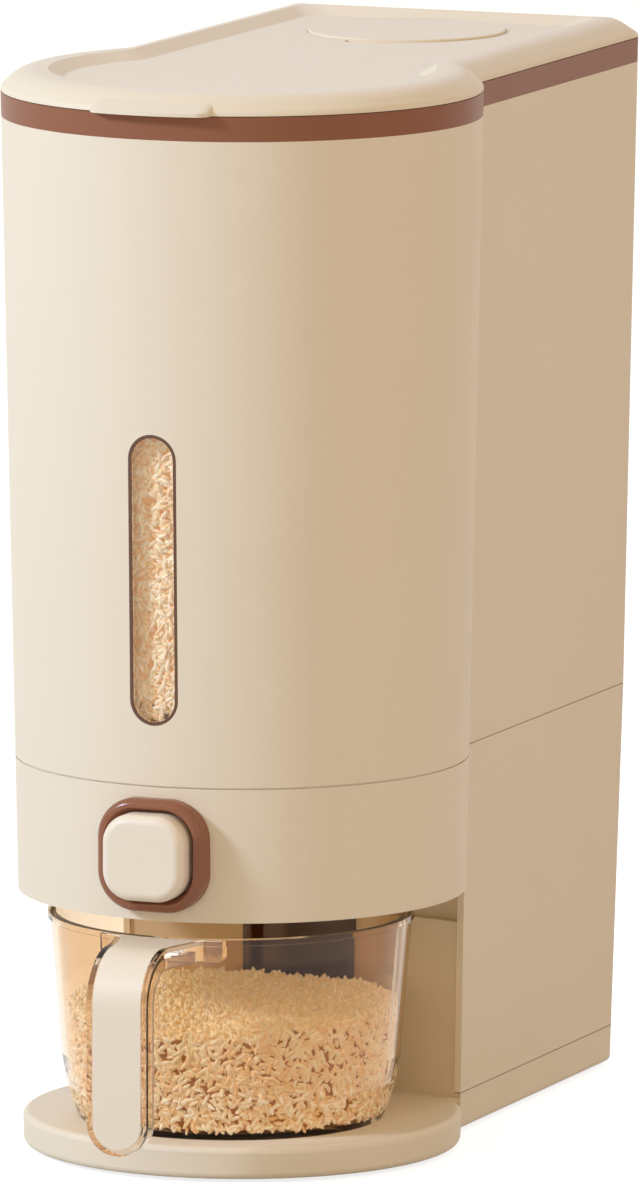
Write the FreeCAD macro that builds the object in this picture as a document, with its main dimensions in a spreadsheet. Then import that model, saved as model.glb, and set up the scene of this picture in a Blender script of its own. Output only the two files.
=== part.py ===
"""Rice dispenser: a keyhole-plan bin with a hinged lid, a push-button shutter and a pull-out cup.

The plan is a round nose joined to a square block. Plan sizes are taken from the nose's own axis,
-Y is the front and +Z is up. Every piece is modelled about that axis and then placed so that the
origin lies on the floor under the middle of the whole dispenser.
"""
import FreeCAD, Part
import Sketcher
import math
import os

Vector = FreeCAD.Vector

# ---------------------------------------------------------------------------------------------
# Driving dimensions, millimetres. A slope is the run of a face for each millimetre of height.
# ---------------------------------------------------------------------------------------------
SIZES = {
    # heights, from the floor up
    "foot_height": 1.5,
    "base_height": 12.2,
    "base_step": 2.0,
    "alcove_height": 84.9,
    "nose_height": 50.3,
    "tank_height": 241.2,
    "band_height": 9.2,
    "lid_height": 8.1,
    # the keyhole plan where the tank meets the band
    "nose_radius": 90.0,
    "block_step": 15.3,
    "block_back": 223.0,
    "corner_radius": 7.0,
    "flare_radius": 10.0,
    "nose_slope": 0.0197,
    "side_slope": 0.0148,
    "tank_back_slope": 0.0141,
    "housing_back_slope": 0.052,
    # walls and fits
    "tank_wall": 2.4,
    "housing_wall": 2.6,
    "fit_gap": 0.3,
    "running_gap": 0.05,
    "fixed_gap": 0.02,
    "press_gap": 0.1,
    # base plate and feet
    "base_wall": 2.6,
    "base_edge": 2.5,
    "base_tongue": 5.0,
    "foot_radius": 9.0,
    "foot_sink": 1.2,
    "foot_inset": 16.0,
    "front_foot_inset": 19.1,
    "front_foot_slope": 1.444,
    "middle_foot_clearance": 18.6,
    "boss_margin": 1.6,
    "rib_thickness": 1.8,
    "rib_drop": 7.0,
    "rib_half_gauge": 24.0,
    # screws and their posts
    "screw_radius": 1.5,
    "screw_head_radius": 2.9,
    "screw_head_height": 2.0,
    "screw_length": 14.0,
    "screw_seat": 6.0,
    "post_half": 6.6,
    "post_radius": 4.5,
    "post_inset": 7.0,
    "post_height": 24.0,
    "front_post_clearance": 44.6,
    "rear_post_inset": 38.0,
    "floor_post_height": 16.0,
    "floor_post_inset": 5.7,
    "floor_post_slope": 1.056,
    "floor_post_clearance": 15.4,
    "floor_post_side": 11.2,
    "bulkhead_bite": 0.4,
    # alcove
    "jamb_front": 49.0,
    "alcove_depth": 59.4,
    "alcove_curve": 250.0,
    "ledge_height": 67.3,
    "ledge_depth": 5.0,
    # mechanism floor, chute and shutter
    "floor_rise": 2.0,
    "floor_thickness": 2.4,
    "outlet_half_width": 20.0,
    "outlet_length": 10.0,
    "outlet_front": 16.0,
    "chute_wall": 1.6,
    "chute_flange": 3.4,
    "chute_flange_height": 1.5,
    "chute_drop": 5.0,
    "shutter_thickness": 3.0,
    "shutter_margin": 5.0,
    "shutter_overlap": 2.0,
    "shutter_tail": 10.0,
    "rail_back": 28.0,
    "rail_wall": 2.4,
    "rail_lip": 2.0,
    "bracket_thickness": 3.0,
    "bracket_half_width": 9.0,
    "bracket_rise": 4.5,
    # button, bezel, push rod and spring
    "button_half_width": 16.2,
    "button_corner": 11.0,
    "button_proud": 7.5,
    "button_depth": 14.0,
    "button_wall": 2.2,
    "button_round": 3.6,
    "button_flange": 1.4,
    "button_flange_depth": 2.0,
    "bezel_half_width": 21.2,
    "bezel_corner": 15.0,
    "bezel_proud": 5.8,
    "bezel_round": 3.0,
    "bezel_barrel_wall": 2.0,
    "bezel_barrel_depth": 25.0,
    "bezel_dish": 3.2,
    "bezel_dish_depth": 3.0,
    "rod_radius": 3.5,
    "collar_radius": 8.0,
    "collar_thickness": 2.0,
    "yoke_inset": 23.23654,
    "yoke_clearance": 17.0,
    "yoke_thickness": 3.0,
    "yoke_half_width": 12.0,
    "spring_wire": 0.6,
    "spring_radius": 5.6,
    "spring_turns": 6.0,
    # hopper
    "hopper_wall": 4.0,
    "neck_wall": 2.0,
    "skirt_ring_wall": 2.0,
    "hopper_mouth_rise": 25.4,
    "hopper_front_slope": 0.57,
    "hopper_back_slope": 0.577,
    "hopper_side_slope": 0.84,
    "hopper_height": 136.0,
    "hopper_flange": 0.6,
    "hopper_skirt": 4.0,
    "flange_inset": 0.8,
    # window
    "window_half_width": 9.6,
    "window_sill": 22.5,
    "window_height": 109.0,
    "gasket_width": 1.2,
    "lens_flange": 3.0,
    "lens_flange_thickness": 1.5,
    "lens_recess": 0.4,
    "window_bite": 16.0,
    # band and hinge
    "band_wall": 3.2,
    "band_tongue": 8.0,
    "tongue_wall": 1.6,
    "hinge_offset": 4.2,
    "knuckle_radius": 3.6,
    "pin_radius": 1.5,
    "hinge_half_length": 30.0,
    "knuckle_length": 8.0,
    "knuckle_gap": 0.4,
    # lid
    "lid_wall": 2.2,
    "lid_edge": 1.4,
    "lid_shoulder": 7.0,
    "lid_round": 13.0,
    "lid_edge_round": 2.4,
    "rim_width": 13.0,
    "rim_nose_width": 17.6,
    "rim_slope_width": 6.0,
    "panel_drop": 3.4,
    "panel_corner": 9.0,
    "panel_flare": 25.0,
    "skirt_depth": 7.0,
    "skirt_wall": 1.8,
    "skirt_gap": 0.6,
    "gasket_height": 3.2,
    "gasket_lift": 0.5,
    "gasket_groove": 1.0,
    "gasket_bulge": 0.2,
    "lip_half_width": 23.5,
    "lip_end": 4.5,
    "lip_end_round": 5.0,
    "lip_reach": 5.0,
    "lip_height": 5.0,
    "lip_lean": 9.5,
    "lip_root": 12.0,
    # desiccant pocket in the lid
    "pocket_back": 165.0,
    "cover_radius": 37.9,
    "cover_proud": 1.0,
    "cover_thickness": 2.6,
    "cover_plug_depth": 3.0,
    "pocket_flange": 1.2,
    "pocket_radius": 33.0,
    "pocket_depth": 16.0,
    "pocket_wall": 1.4,
    "pocket_boss_wall": 3.0,
    "vent_half_width": 1.1,
    "vent_pitch": 7.0,
    "vent_length": 34.0,
    "notch_half_width": 10.0,
    "notch_reach": 5.0,
    "notch_depth": 1.4,
    # cup
    "cup_front_gap": 2.8,
    "cup_back_gap": 1.2,
    "cup_knee_inset": 5.1,
    "cup_foot_inset": 11.5,
    "cup_knee_height": 24.0,
    "cup_bow": 76.0,
    "cup_height": 77.7,
    "cup_wall": 2.2,
    "cup_floor": 2.6,
    "cup_rim_bead": 0.9,
    # handle
    "handle_length": 41.7,
    "handle_half_width": 12.0,
    "handle_thickness": 7.5,
    "handle_wall": 2.2,
    "handle_web": 1.8,
    "handle_bend": 20.0,
    "handle_end": 2.4,
    "handle_flare": 9.0,
    "handle_flare_bow": 3.6,
    "bracket_half_length": 24.6,
    "bracket_drop": 8.4,
    "bracket_depth": 3.0,
    "bracket_round": 3.0,
    "insert_margin": 2.3,
    "insert_thickness": 1.8,
}

# Sizes worked out from the driving ones, as spreadsheet formulas.
DERIVED = {
    "block_half_width": "nose_radius - block_step",
    "deck_level": "foot_height + base_height",
    "join_level": "deck_level + base_step",
    "ledge_level": "deck_level + ledge_height",
    "alcove_level": "deck_level + alcove_height",
    "seam_level": "alcove_level + nose_height",
    "tank_level": "seam_level + hopper_flange",
    "band_level": "tank_level + tank_height",
    "rim_level": "band_level + band_height",
    "lid_foot_level": "rim_level + fit_gap",
    "lid_top_level": "rim_level + lid_height",
    "panel_level": "lid_top_level - panel_drop",
    "lid_ceiling_level": "panel_level - lid_wall",
    "recess_nose": "rim_nose - rim_nose_width",
    "recess_half": "rim_half - rim_width",
    "recess_back": "rim_back - rim_width",
    "floor_level": "alcove_level + floor_rise",
    "floor_top_level": "floor_level + floor_thickness",
    "shutter_level": "floor_top_level + chute_flange_height + fit_gap",
    "shutter_top_level": "shutter_level + shutter_thickness",
    "neck_level": "shutter_top_level + fit_gap",
    "button_level": "alcove_level + nose_height / 2",
    "hopper_level": "alcove_level + hopper_mouth_rise",
    "hopper_top_level": "hopper_level + hopper_height",
    "chute_level": "floor_level - chute_drop",
    "outlet_back": "outlet_front - outlet_length",
    "stroke": "outlet_length + shutter_overlap",
    "middle_foot_back": "alcove_depth + middle_foot_clearance",
    "front_foot_half": "(foot_nose - front_foot_inset) / sqrt(1 + front_foot_slope ^ 2)",
    "front_foot_reach": "front_foot_half * front_foot_slope",
    "front_post_back": "alcove_depth + front_post_clearance",
    "floor_post_half": "(alcove_nose - floor_post_inset) / sqrt(1 + floor_post_slope ^ 2)",
    "floor_post_reach": "floor_post_half * floor_post_slope",
    "floor_post_back": "alcove_depth - floor_post_clearance",
    "yoke_front": "seam_nose - yoke_inset",
    "bracket_front": "yoke_front - yoke_clearance",
    "bezel_reach": "seam_nose + bezel_proud",
    "button_reach": "bezel_reach + button_proud",
    "cup_front": "deck_nose - cup_front_gap",
    "cup_rim_radius": "(cup_front + alcove_depth - cup_back_gap) / 2",
    "cup_offset": "cup_front - cup_rim_radius",
    "cup_knee_radius": "cup_rim_radius - cup_knee_inset",
    "cup_foot_radius": "cup_rim_radius - cup_foot_inset",
    "cup_rim_level": "deck_level + cup_height",
    "hinge_back": "rim_back + hinge_offset",
    "rear_reach": "hinge_back + knuckle_radius",
    "axis_shift": "(handle_reach - rear_reach) / 2",
    "bulkhead_half": "join_half - bulkhead_bite",
    "bulkhead_side": "alcove_depth - alcove_curve + sqrt(alcove_curve ^ 2 - bulkhead_half ^ 2)",
    "tongue_start": "alcove_depth + housing_wall + base_tongue",
    "floor_back": "alcove_depth + ledge_depth + housing_wall / 2",
    "barrel_half": "button_half_width + button_flange + fit_gap + bezel_barrel_wall",
    "cap_back": "button_reach - button_depth - button_flange_depth",
    "mouth_half": "outlet_half_width + hopper_height / hopper_side_slope",
    "mouth_front": "outlet_front + hopper_height / hopper_front_slope",
    "mouth_back": "hopper_height / hopper_back_slope - outlet_back",
    "window_low": "tank_level + window_sill",
    "window_high": "window_low + window_height",
    "window_start": "seam_nose - window_bite",
    "knuckle_half": "knuckle_length / 2",
    "skirt_level": "rim_level - skirt_depth",
    "gasket_top_level": "skirt_level + gasket_lift + gasket_height + gasket_lift",
    "lip_side": "sqrt(rim_nose ^ 2 - lip_half_width ^ 2)",
    "lip_front_half": "lip_half_width - lip_end",
    "lip_front_side": "sqrt((rim_nose + lip_reach) ^ 2 - lip_front_half ^ 2)",
    "pocket_seat_level": "panel_level + cover_proud - cover_thickness - pocket_flange",
    "pocket_boss_drop": "pocket_flange",
    "vent_half_length": "vent_length / 2",
    "vent_round": "vent_half_width * 0.98",
    "handle_reach": "cup_front + handle_length",
    "handle_end_level": "deck_level + handle_end",
    "bracket_inner": "cup_rim_radius - cup_rim_bead - cup_wall",
    "bracket_outer": "cup_rim_radius + bracket_depth",
    "bracket_inner_side": "cup_offset + sqrt(bracket_inner ^ 2 - bracket_half_length ^ 2)",
    "bracket_outer_side": "cup_offset + sqrt(bracket_outer ^ 2 - bracket_half_length ^ 2)",
    "strap_root": "cup_offset + bracket_outer",
    "fan_half": "handle_half_width + handle_flare",
    "fan_root": "cup_offset + sqrt(bracket_inner ^ 2 - fan_half ^ 2)",
    "fan_tip": "handle_reach - handle_bend",
    "fan_curve": "(fan_tip - fan_root) * handle_flare_bow",
    "channel_flare": "handle_flare * (fan_tip - strap_root) / (fan_tip - fan_root) - handle_wall / 2",
}


def section(name, above):
    """Formulas of the outer keyhole at a level that lies so far above the band's lower edge."""
    DERIVED[name + "_nose"] = f"nose_radius + nose_slope * ({above})"
    DERIVED[name + "_half"] = f"block_half_width + side_slope * ({above})"
    DERIVED[name + "_back"] = f"block_back + tank_back_slope * ({above})"


def housing_section(name, level):
    """The same below the seam, where the back leans in at its own slope."""
    section(name, level + " - band_level")
    DERIVED[name + "_back"] = f"seam_back - housing_back_slope * (seam_level - {level})"


section("rim", "rim_level - band_level")
section("band", "0")
section("hopper", "hopper_top_level - band_level")
section("seam", "seam_level - band_level")
housing_section("alcove", "alcove_level")
housing_section("join", "join_level")
housing_section("deck", "deck_level")
housing_section("foot", "foot_height")

doc = FreeCAD.newDocument("rice_dispenser")
sheet = doc.addObject("Spreadsheet::Sheet", "Sizes")


def fill_sheet():
    """Write every size into the sheet, one row each, with its name as alias."""
    for row, (name, value) in enumerate(SIZES.items(), start=1):
        sheet.set(f"A{row}", name)
        sheet.set(f"B{row}", str(value))
        sheet.setAlias(f"B{row}", name)
    for row, name in enumerate(DERIVED, start=1):
        sheet.set(f"D{row}", name)
        sheet.setAlias(f"E{row}", name)
    for row, formula in enumerate(DERIVED.values(), start=1):
        sheet.set(f"E{row}", "=" + formula)
    doc.recompute()


fill_sheet()


# ---------------------------------------------------------------------------------------------
# Sums of named sizes: "seam_nose - tank_wall" is read as a number or turned into an expression.
# ---------------------------------------------------------------------------------------------
def size(text):
    """Value of a sum of named sizes and plain numbers."""
    total, sign = 0.0, 1.0
    for word in text.split():
        if word in ("+", "-"):
            sign = 1.0 if word == "+" else -1.0
        else:
            number = float(sheet.get(word)) if word[0].isalpha() else float(word)
            total += sign * number
    return total


def expression(text):
    """The same sum as an expression on the sheet."""
    return " ".join("Sizes." + word if word[0].isalpha() else word for word in text.split())


def bind(thing, **sums):
    """Bind properties, such as Length, to sums of sizes."""
    for name, text in sums.items():
        thing.setExpression(name, expression(text))


def flip(text):
    """The sum with all its signs changed, to be joined on behind another."""
    swapped = {"+": "-", "-": "+"}
    words = [swapped.get(word, word) for word in text.split()]
    return words if words[0] in ("+", "-") else ["-"] + words


def negated(text):
    """The sum with its sign changed, for a mirrored place."""
    words = flip(text)
    return " ".join(words[1:] if words[0] == "+" else words)


def both_sides(x_text):
    """The right-hand place and its mirror image."""
    return (x_text, negated(x_text))


def less(text, inset):
    """text minus inset, both sums."""
    return " ".join([text] + flip(inset)) if inset else text


def more(text, inset):
    """text plus inset, both sums."""
    return f"{text} + {inset}" if inset else text


# ---------------------------------------------------------------------------------------------
# Helpers for bodies, sketches and features
# ---------------------------------------------------------------------------------------------
parts = []


def keep(thing, label):
    """Make an object a piece of its own: named, and moved with the nose axis."""
    thing.Label = label
    thing.setExpression("Placement.Base.y", expression("axis_shift"))
    parts.append(thing)
    return thing


def new_body(label):
    return doc.addObject("PartDesign::Body", label)


def new_sketch(body, label, plane="XY_Plane", level="0"):
    """An empty sketch on one of the body's own planes, moved along its normal."""
    sketch = body.newObject("Sketcher::SketchObject", label)
    support = next(item for item in body.Origin.OriginFeatures if item.Role == plane)
    sketch.AttachmentSupport = (support, [""])
    sketch.MapMode = "FlatFace"
    sketch.setExpression("AttachmentOffset.Base.z", expression(level))
    return sketch


def dimension(sketch, name, text, *constraint):
    """Add a constraint with a name and bind its value to a sum of sizes."""
    index = sketch.addConstraint(Sketcher.Constraint(*constraint, size(text)))
    sketch.renameConstraint(index, name)
    sketch.setExpression("Constraints." + name, expression(text))


def fix_point(sketch, name, geometry, vertex, x_text, y_text):
    """Hold one vertex at a place given by two sums of sizes, either of which may be negative."""
    for axis, text in (("X", x_text), ("Y", y_text)):
        if abs(size(text)) < 1e-9:
            line = -2 if axis == "X" else -1
            sketch.addConstraint(Sketcher.Constraint("PointOnObject", geometry, vertex, line))
        elif size(text) > 0:
            dimension(sketch, name + axis, text, "Distance" + axis, -1, 1, geometry, vertex)
        else:
            dimension(sketch, name + axis, negated(text), "Distance" + axis, geometry, vertex, -1, 1)


def polygon(sketch, points, bows=None):
    """A closed outline through points given as sums; bows turns a side into an arc of a radius.

    A bow is a pair: the radius as a sum, and the side of travel on which the arc bulges, +1 for
    the right and -1 for the left.
    """
    bows = bows or {}
    first = sketch.GeometryCount
    spots = [Vector(size(x), size(y), 0) for x, y in points]
    ends = []
    for index, start in enumerate(spots):
        finish = spots[(index + 1) % len(spots)]
        if index in bows:
            radius_text, side = bows[index]
            ends.append(add_bow(sketch, start, finish, size(radius_text), side))
        else:
            sketch.addGeometry(Part.LineSegment(start, finish))
            ends.append((1, 2))
    count = len(spots)
    for index in range(count):
        follower = (index + 1) % count
        sketch.addConstraint(Sketcher.Constraint(
            "Coincident", first + index, ends[index][1], first + follower, ends[follower][0]))
    for index, (x_text, y_text) in enumerate(points):
        fix_point(sketch, f"p{first + index}", first + index, ends[index][0], x_text, y_text)
    for index, (radius_text, side) in bows.items():
        chord = spots[index].distanceToPoint(spots[(index + 1) % count])
        arc = first + index
        if chord > 1.9999 * size(radius_text):
            sketch.addConstraint(Sketcher.Constraint("Symmetric", arc, 1, arc, 2, arc, 3))
        else:
            dimension(sketch, f"bow{arc}", radius_text, "Radius", arc)
    return sketch


def add_bow(sketch, start, finish, radius, side):
    """An arc between two points; returns which of its ends lies at the start and the finish."""
    chord = finish.sub(start)
    right = Vector(chord.y, -chord.x, 0).normalize()
    depth = math.sqrt(max(radius ** 2 - (chord.Length / 2) ** 2, 0.0))
    centre = start.add(chord.multiply(0.5)).sub(right.multiply(side * depth))
    angles = [math.atan2(spot.y - centre.y, spot.x - centre.x) for spot in (start, finish)]
    if side > 0:
        first, last, order = angles[0], angles[1], (1, 2)
    else:
        first, last, order = angles[1], angles[0], (2, 1)
    if last < first:
        last += 2 * math.pi
    circle = Part.Circle(centre, Vector(0, 0, 1), radius)
    sketch.addGeometry(Part.ArcOfCircle(circle, first, last))
    return order


def rectangle(sketch, left, right, low, high):
    return polygon(sketch, [(left, low), (right, low), (right, high), (left, high)])


def circle(sketch, radius, x_text="0", y_text="0"):
    centre = Vector(size(x_text), size(y_text), 0)
    index = sketch.addGeometry(Part.Circle(centre, Vector(0, 0, 1), size(radius)))
    fix_point(sketch, f"c{index}", index, 3, x_text, y_text)
    dimension(sketch, f"r{index}", radius, "Radius", index)
    return sketch


def circles(sketch, radius, places):
    """A circle of one radius at each place."""
    for x, y in places:
        circle(sketch, radius, x, y)
    return sketch


def rounded(sketch, half_x, half_y, corner, x_text="0", y_text="0"):
    """A rectangle with round corners about a centre; a full round makes a slot or a stadium."""
    right, left = more(x_text, half_x), less(x_text, half_x)
    high, low = more(y_text, half_y), less(y_text, half_y)
    points = [
        (more(left, corner), low), (less(right, corner), low),
        (right, more(low, corner)), (right, less(high, corner)),
        (less(right, corner), high), (more(left, corner), high),
        (left, less(high, corner)), (left, more(low, corner)),
    ]
    bows = {index: (corner, 1) for index in (1, 3, 5, 7)}
    return polygon(sketch, points, bows)


def stadium(sketch, half_width, low, high):
    """An upright slot with full round ends, about the middle line."""
    points = [
        (half_width, more(low, half_width)), (half_width, less(high, half_width)),
        (negated(half_width), less(high, half_width)), (negated(half_width), more(low, half_width)),
    ]
    return polygon(sketch, points, {1: (half_width, 1), 3: (half_width, 1)})


def keyhole(body, label, name, level, inset="", corner="", flare_text=""):
    """The round nose joined to the square block through a small hollow flare on each side.

    name is the section that the outline belongs to, and inset moves it inward all round.
    """
    sketch = new_sketch(body, label, level=level)
    texts = [less(f"{name}_{item}", inset) for item in ("nose", "half", "back")]
    texts += [corner or less("corner_radius", inset), flare_text or more("flare_radius", inset)]
    nose, half, back, corner_r, flare = (size(text) for text in texts)
    neck = math.sqrt((nose + flare) ** 2 - (half + flare) ** 2)
    turn = math.atan2(neck, half + flare)
    up = Vector(0, 0, 1)

    def arc(x, y, radius, first, last):
        sketch.addGeometry(Part.ArcOfCircle(Part.Circle(Vector(x, y, 0), up, radius), first, last))

    def line(x1, y1, x2, y2):
        sketch.addGeometry(Part.LineSegment(Vector(x1, y1, 0), Vector(x2, y2, 0)))

    arc(0, 0, nose, math.pi - turn, 2 * math.pi + turn)
    arc(half + flare, neck, flare, math.pi, math.pi + turn)
    line(half, neck, half, back - corner_r)
    arc(half - corner_r, back - corner_r, corner_r, 0, math.pi / 2)
    line(half - corner_r, back, corner_r - half, back)
    arc(corner_r - half, back - corner_r, corner_r, math.pi / 2, math.pi)
    line(-half, back - corner_r, -half, neck)
    arc(-half - flare, neck, flare, -turn, 0)
    joints = [(0, 2, 1, 2), (1, 1, 2, 1), (2, 2, 3, 1), (3, 2, 4, 1),
              (4, 2, 5, 1), (5, 2, 6, 1), (6, 2, 7, 2), (7, 1, 0, 1)]
    for joint in joints:
        sketch.addConstraint(Sketcher.Constraint("Tangent", *joint))
    for line_index, kind in ((2, "Vertical"), (6, "Vertical"), (4, "Horizontal")):
        sketch.addConstraint(Sketcher.Constraint(kind, line_index))
    sketch.addConstraint(Sketcher.Constraint("Coincident", 0, 3, -1, 1))
    sketch.addConstraint(Sketcher.Constraint("Equal", 1, 7))
    sketch.addConstraint(Sketcher.Constraint("Equal", 3, 5))
    dimension(sketch, "nose", texts[0], "Radius", 0)
    dimension(sketch, "half", texts[1], "DistanceX", -1, 1, 2, 1)
    dimension(sketch, "half_left", texts[1], "DistanceX", 6, 1, -1, 1)
    dimension(sketch, "back", texts[2], "DistanceY", -1, 1, 4, 1)
    dimension(sketch, "corner", texts[3], "Radius", 3)
    dimension(sketch, "flare", texts[4], "Radius", 1)
    return sketch


def edge_length(body):
    """Total length of a body's edges, which any cut changes."""
    return sum(edge.Length for edge in body.Shape.Edges)


def pad(body, sketch, length, both_ways=False, backward=False):
    """Raise a sketch along its normal, to both sides alike, or against the normal."""
    feature = body.newObject("PartDesign::Pad", sketch.Label + "_pad")
    feature.Profile = sketch
    feature.Refine = False
    bind(feature, Length=length)
    feature.Midplane = both_ways
    feature.Reversed = backward
    doc.recompute()
    return feature


def pocket(body, sketch, length, forward=False, both_ways=False):
    """Cut a sketch against its normal, or along it, and make sure that something was cut."""
    before = edge_length(body)
    feature = body.newObject("PartDesign::Pocket", sketch.Label + "_cut")
    feature.Profile = sketch
    feature.Refine = False
    bind(feature, Length=length)
    feature.Midplane = both_ways
    feature.Reversed = forward
    doc.recompute()
    if abs(edge_length(body) - before) < 1e-6:
        raise RuntimeError(sketch.Label + " cuts nothing")
    return feature


def loft(body, low, high, cut=False):
    """Join two outlines with straight-ruled faces, as a solid or as a cut."""
    kind = "PartDesign::SubtractiveLoft" if cut else "PartDesign::AdditiveLoft"
    feature = body.newObject(kind, low.Label + "_loft")
    feature.Profile = low
    feature.Sections = [high]
    feature.Ruled = True
    doc.recompute()
    return feature


def shell_of(body, label, low, high, inset="", cut=False, corner="", top_inset="", flare=""):
    """A drafted keyhole between two (section, level) pairs."""
    low_plan = keyhole(body, label + "_low", low[0], low[1], inset, corner, flare)
    high_plan = keyhole(body, label + "_high", high[0], high[1], top_inset or inset, corner, flare)
    return loft(body, low_plan, high_plan, cut)


def revolve(body, sketch, cut=False):
    """A full turn about the sketch's own upright axis."""
    kind = "PartDesign::Groove" if cut else "PartDesign::Revolution"
    feature = body.newObject(kind, sketch.Label + "_turn")
    feature.Profile = sketch
    feature.ReferenceAxis = (sketch, ["V_Axis"])
    feature.Angle = 360.0
    doc.recompute()
    return feature


def edges_where(shape, test):
    """Names of the edges whose bounding box passes a test."""
    return [f"Edge{i}" for i, edge in enumerate(shape.Edges, start=1) if test(edge.BoundBox)]


def at_level(level):
    """Test for edges that lie flat at a level."""
    height = size(level)
    return lambda box: abs(box.ZMin - height) < 1e-4 and abs(box.ZMax - height) < 1e-4


def fillet(body, radius, test):
    """Round the edges of the body's present shape that pass the test."""
    base = body.Tip
    feature = body.newObject("PartDesign::Fillet", "Round")
    feature.Base = (base, edges_where(base.Shape, test))
    bind(feature, Radius=radius)
    doc.recompute()
    return feature


def combine(kind, label, *things):
    """A boolean of whole objects: Cut, MultiFuse or MultiCommon."""
    feature = doc.addObject("Part::" + kind, label)
    if kind == "Cut":
        feature.Base, feature.Tool = things
    else:
        feature.Shapes = list(things)
    doc.recompute()
    return feature


def cone(label, low_radius, high_radius, low, high):
    """A cone frustum on the nose axis between two levels."""
    feature = doc.addObject("Part::Cone", label)
    bind(feature, Radius1=low_radius, Radius2=high_radius, Height=less(high, low))
    feature.setExpression("Placement.Base.z", expression(low))
    return feature


def cylinder(label, radius, height, x="0", y="0", z="0"):
    feature = doc.addObject("Part::Cylinder", label)
    bind(feature, Radius=radius, Height=height)
    for axis, text in (("x", x), ("y", y), ("z", z)):
        feature.setExpression("Placement.Base." + axis, expression(text))
    return feature


def screw(label, x, y, head_level):
    """A pan-head screw driven upward, its head's underside at the given level."""
    shank = cylinder(label + "_shank", "screw_radius", "screw_length", x, y, head_level)
    head = cylinder(
        label + "_head", "screw_head_radius", "screw_head_height",
        x, y, less(head_level, "screw_head_height"),
    )
    return combine("MultiFuse", label, shank, head)


# ---------------------------------------------------------------------------------------------
# Base plate, feet and the screws that hold the housing on it
# ---------------------------------------------------------------------------------------------
FOOT_PLACES = [
    ("front_foot_half", "- front_foot_reach"),
    ("foot_half - foot_inset", "middle_foot_back"),
    ("foot_half - foot_inset", "foot_back - foot_inset"),
]
BASE_SCREW_PLACES = [
    ("join_half - post_inset", "front_post_back"),
    ("join_half - post_inset", "join_back - rear_post_inset"),
]
FLOOR_SCREW_PLACES = [
    ("floor_post_half", "- floor_post_reach"),
    ("alcove_half - floor_post_side", "floor_post_back"),
]


def mirrored_places(places):
    return [(x, y) for right, y in places for x in both_sides(right)]


def front_cutter(body, label, level):
    """Outline of everything in front of the jambs."""
    sketch = new_sketch(body, label, level=level)
    wide = "nose_radius + nose_radius"
    return rectangle(sketch, negated(wide), wide, negated(wide), "jamb_front")


def alcove_outline(body, label, level, front, back):
    """A band between two copies of the alcove's hollow curve, moved back by front and back."""
    sketch = new_sketch(body, label, level=level)
    points = [
        ("- bulkhead_half", more("bulkhead_side", front)),
        ("bulkhead_half", more("bulkhead_side", front)),
        ("bulkhead_half", more("bulkhead_side", back)),
        ("- bulkhead_half", more("bulkhead_side", back)),
    ]
    return polygon(sketch, points, {0: ("alcove_curve", -1), 2: ("alcove_curve", 1)})


def base_tray():
    body = new_body("base")
    shell_of(body, "base_outer", ("foot", "foot_height"), ("join", "join_level"))
    pocket(body, front_cutter(body, "base_front", "join_level"), "base_step + base_edge")
    deck = new_sketch(body, "base_alcove", level="join_level")
    points = [
        ("- bulkhead_half", "0"), ("bulkhead_half", "0"),
        ("bulkhead_half", "bulkhead_side"), ("- bulkhead_half", "bulkhead_side"),
    ]
    pocket(body, polygon(deck, points, {2: ("alcove_curve", 1)}), "base_step")
    disc = new_sketch(body, "base_disc", "XZ_Plane")
    points = [
        ("0", "deck_level - base_edge"), ("deck_nose", "deck_level - base_edge"),
        ("deck_nose - base_edge", "deck_level"), ("0", "deck_level"),
    ]
    revolve(body, polygon(disc, points, {1: ("base_edge", 1)}))
    fillet(body, "base_edge - press_gap", at_level("foot_height"))
    hollow = keyhole(body, "base_hollow", "foot", "foot_height", "base_wall")
    pocket(body, hollow, "base_height - base_wall", forward=True)
    feet, screws = mirrored_places(FOOT_PLACES), mirrored_places(BASE_SCREW_PLACES)

    def discs(label, radius, places):
        return circles(new_sketch(body, label, level="foot_height"), radius, places)

    pad(body, discs("foot_bosses", "foot_radius + boss_margin", feet), "base_height")
    pocket(body, discs("foot_seats", "foot_radius + press_gap", feet), "foot_sink", forward=True)
    pad(body, discs("screw_bosses", "screw_head_radius + boss_margin", screws), "base_height")
    pocket(body, discs("screw_wells", "screw_head_radius + fit_gap", screws),
           "join_level - screw_seat - foot_height", forward=True)
    pocket(body, discs("screw_bores", "screw_radius + fit_gap", screws),
           "base_height + base_step", forward=True)
    ribs = new_sketch(body, "ribs", level="deck_level - base_wall")
    for x in both_sides("rib_half_gauge"):
        rectangle(ribs, less(x, "rib_thickness"), x, "- foot_radius", less("foot_back", "base_edge"))
    pad(body, ribs, "rib_drop", backward=True)
    cross_ribs = new_sketch(body, "cross_ribs", level="deck_level - base_wall")
    for y in ("- foot_radius", "front_post_back - foot_radius",
              "join_back - rear_post_inset - foot_radius"):
        rectangle(cross_ribs, "base_edge - foot_half", "foot_half - base_edge",
                  less(y, "rib_thickness"), y)
    pad(body, cross_ribs, "rib_drop", backward=True)
    tongue = keyhole(body, "tongue", "join", "join_level", "housing_wall + fit_gap")
    pad(body, tongue, "base_tongue")
    inside = keyhole(body, "tongue_in", "join", "join_level + base_tongue",
                     "housing_wall + fit_gap + rib_thickness")
    pocket(body, inside, "base_tongue")
    wide = "nose_radius + nose_radius"
    clear = new_sketch(body, "tongue_front", level="join_level + base_tongue")
    rectangle(clear, negated(wide), wide, negated(wide), "tongue_start")
    pocket(body, clear, "base_tongue")
    gaps = new_sketch(body, "post_gaps", level="join_level + base_tongue")
    for x, y in screws:
        rounded(gaps, "post_half + fit_gap", "post_radius + fit_gap", "screw_radius", x, y)
    pocket(body, gaps, "base_tongue")
    return keep(body, "base_tray")


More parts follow.
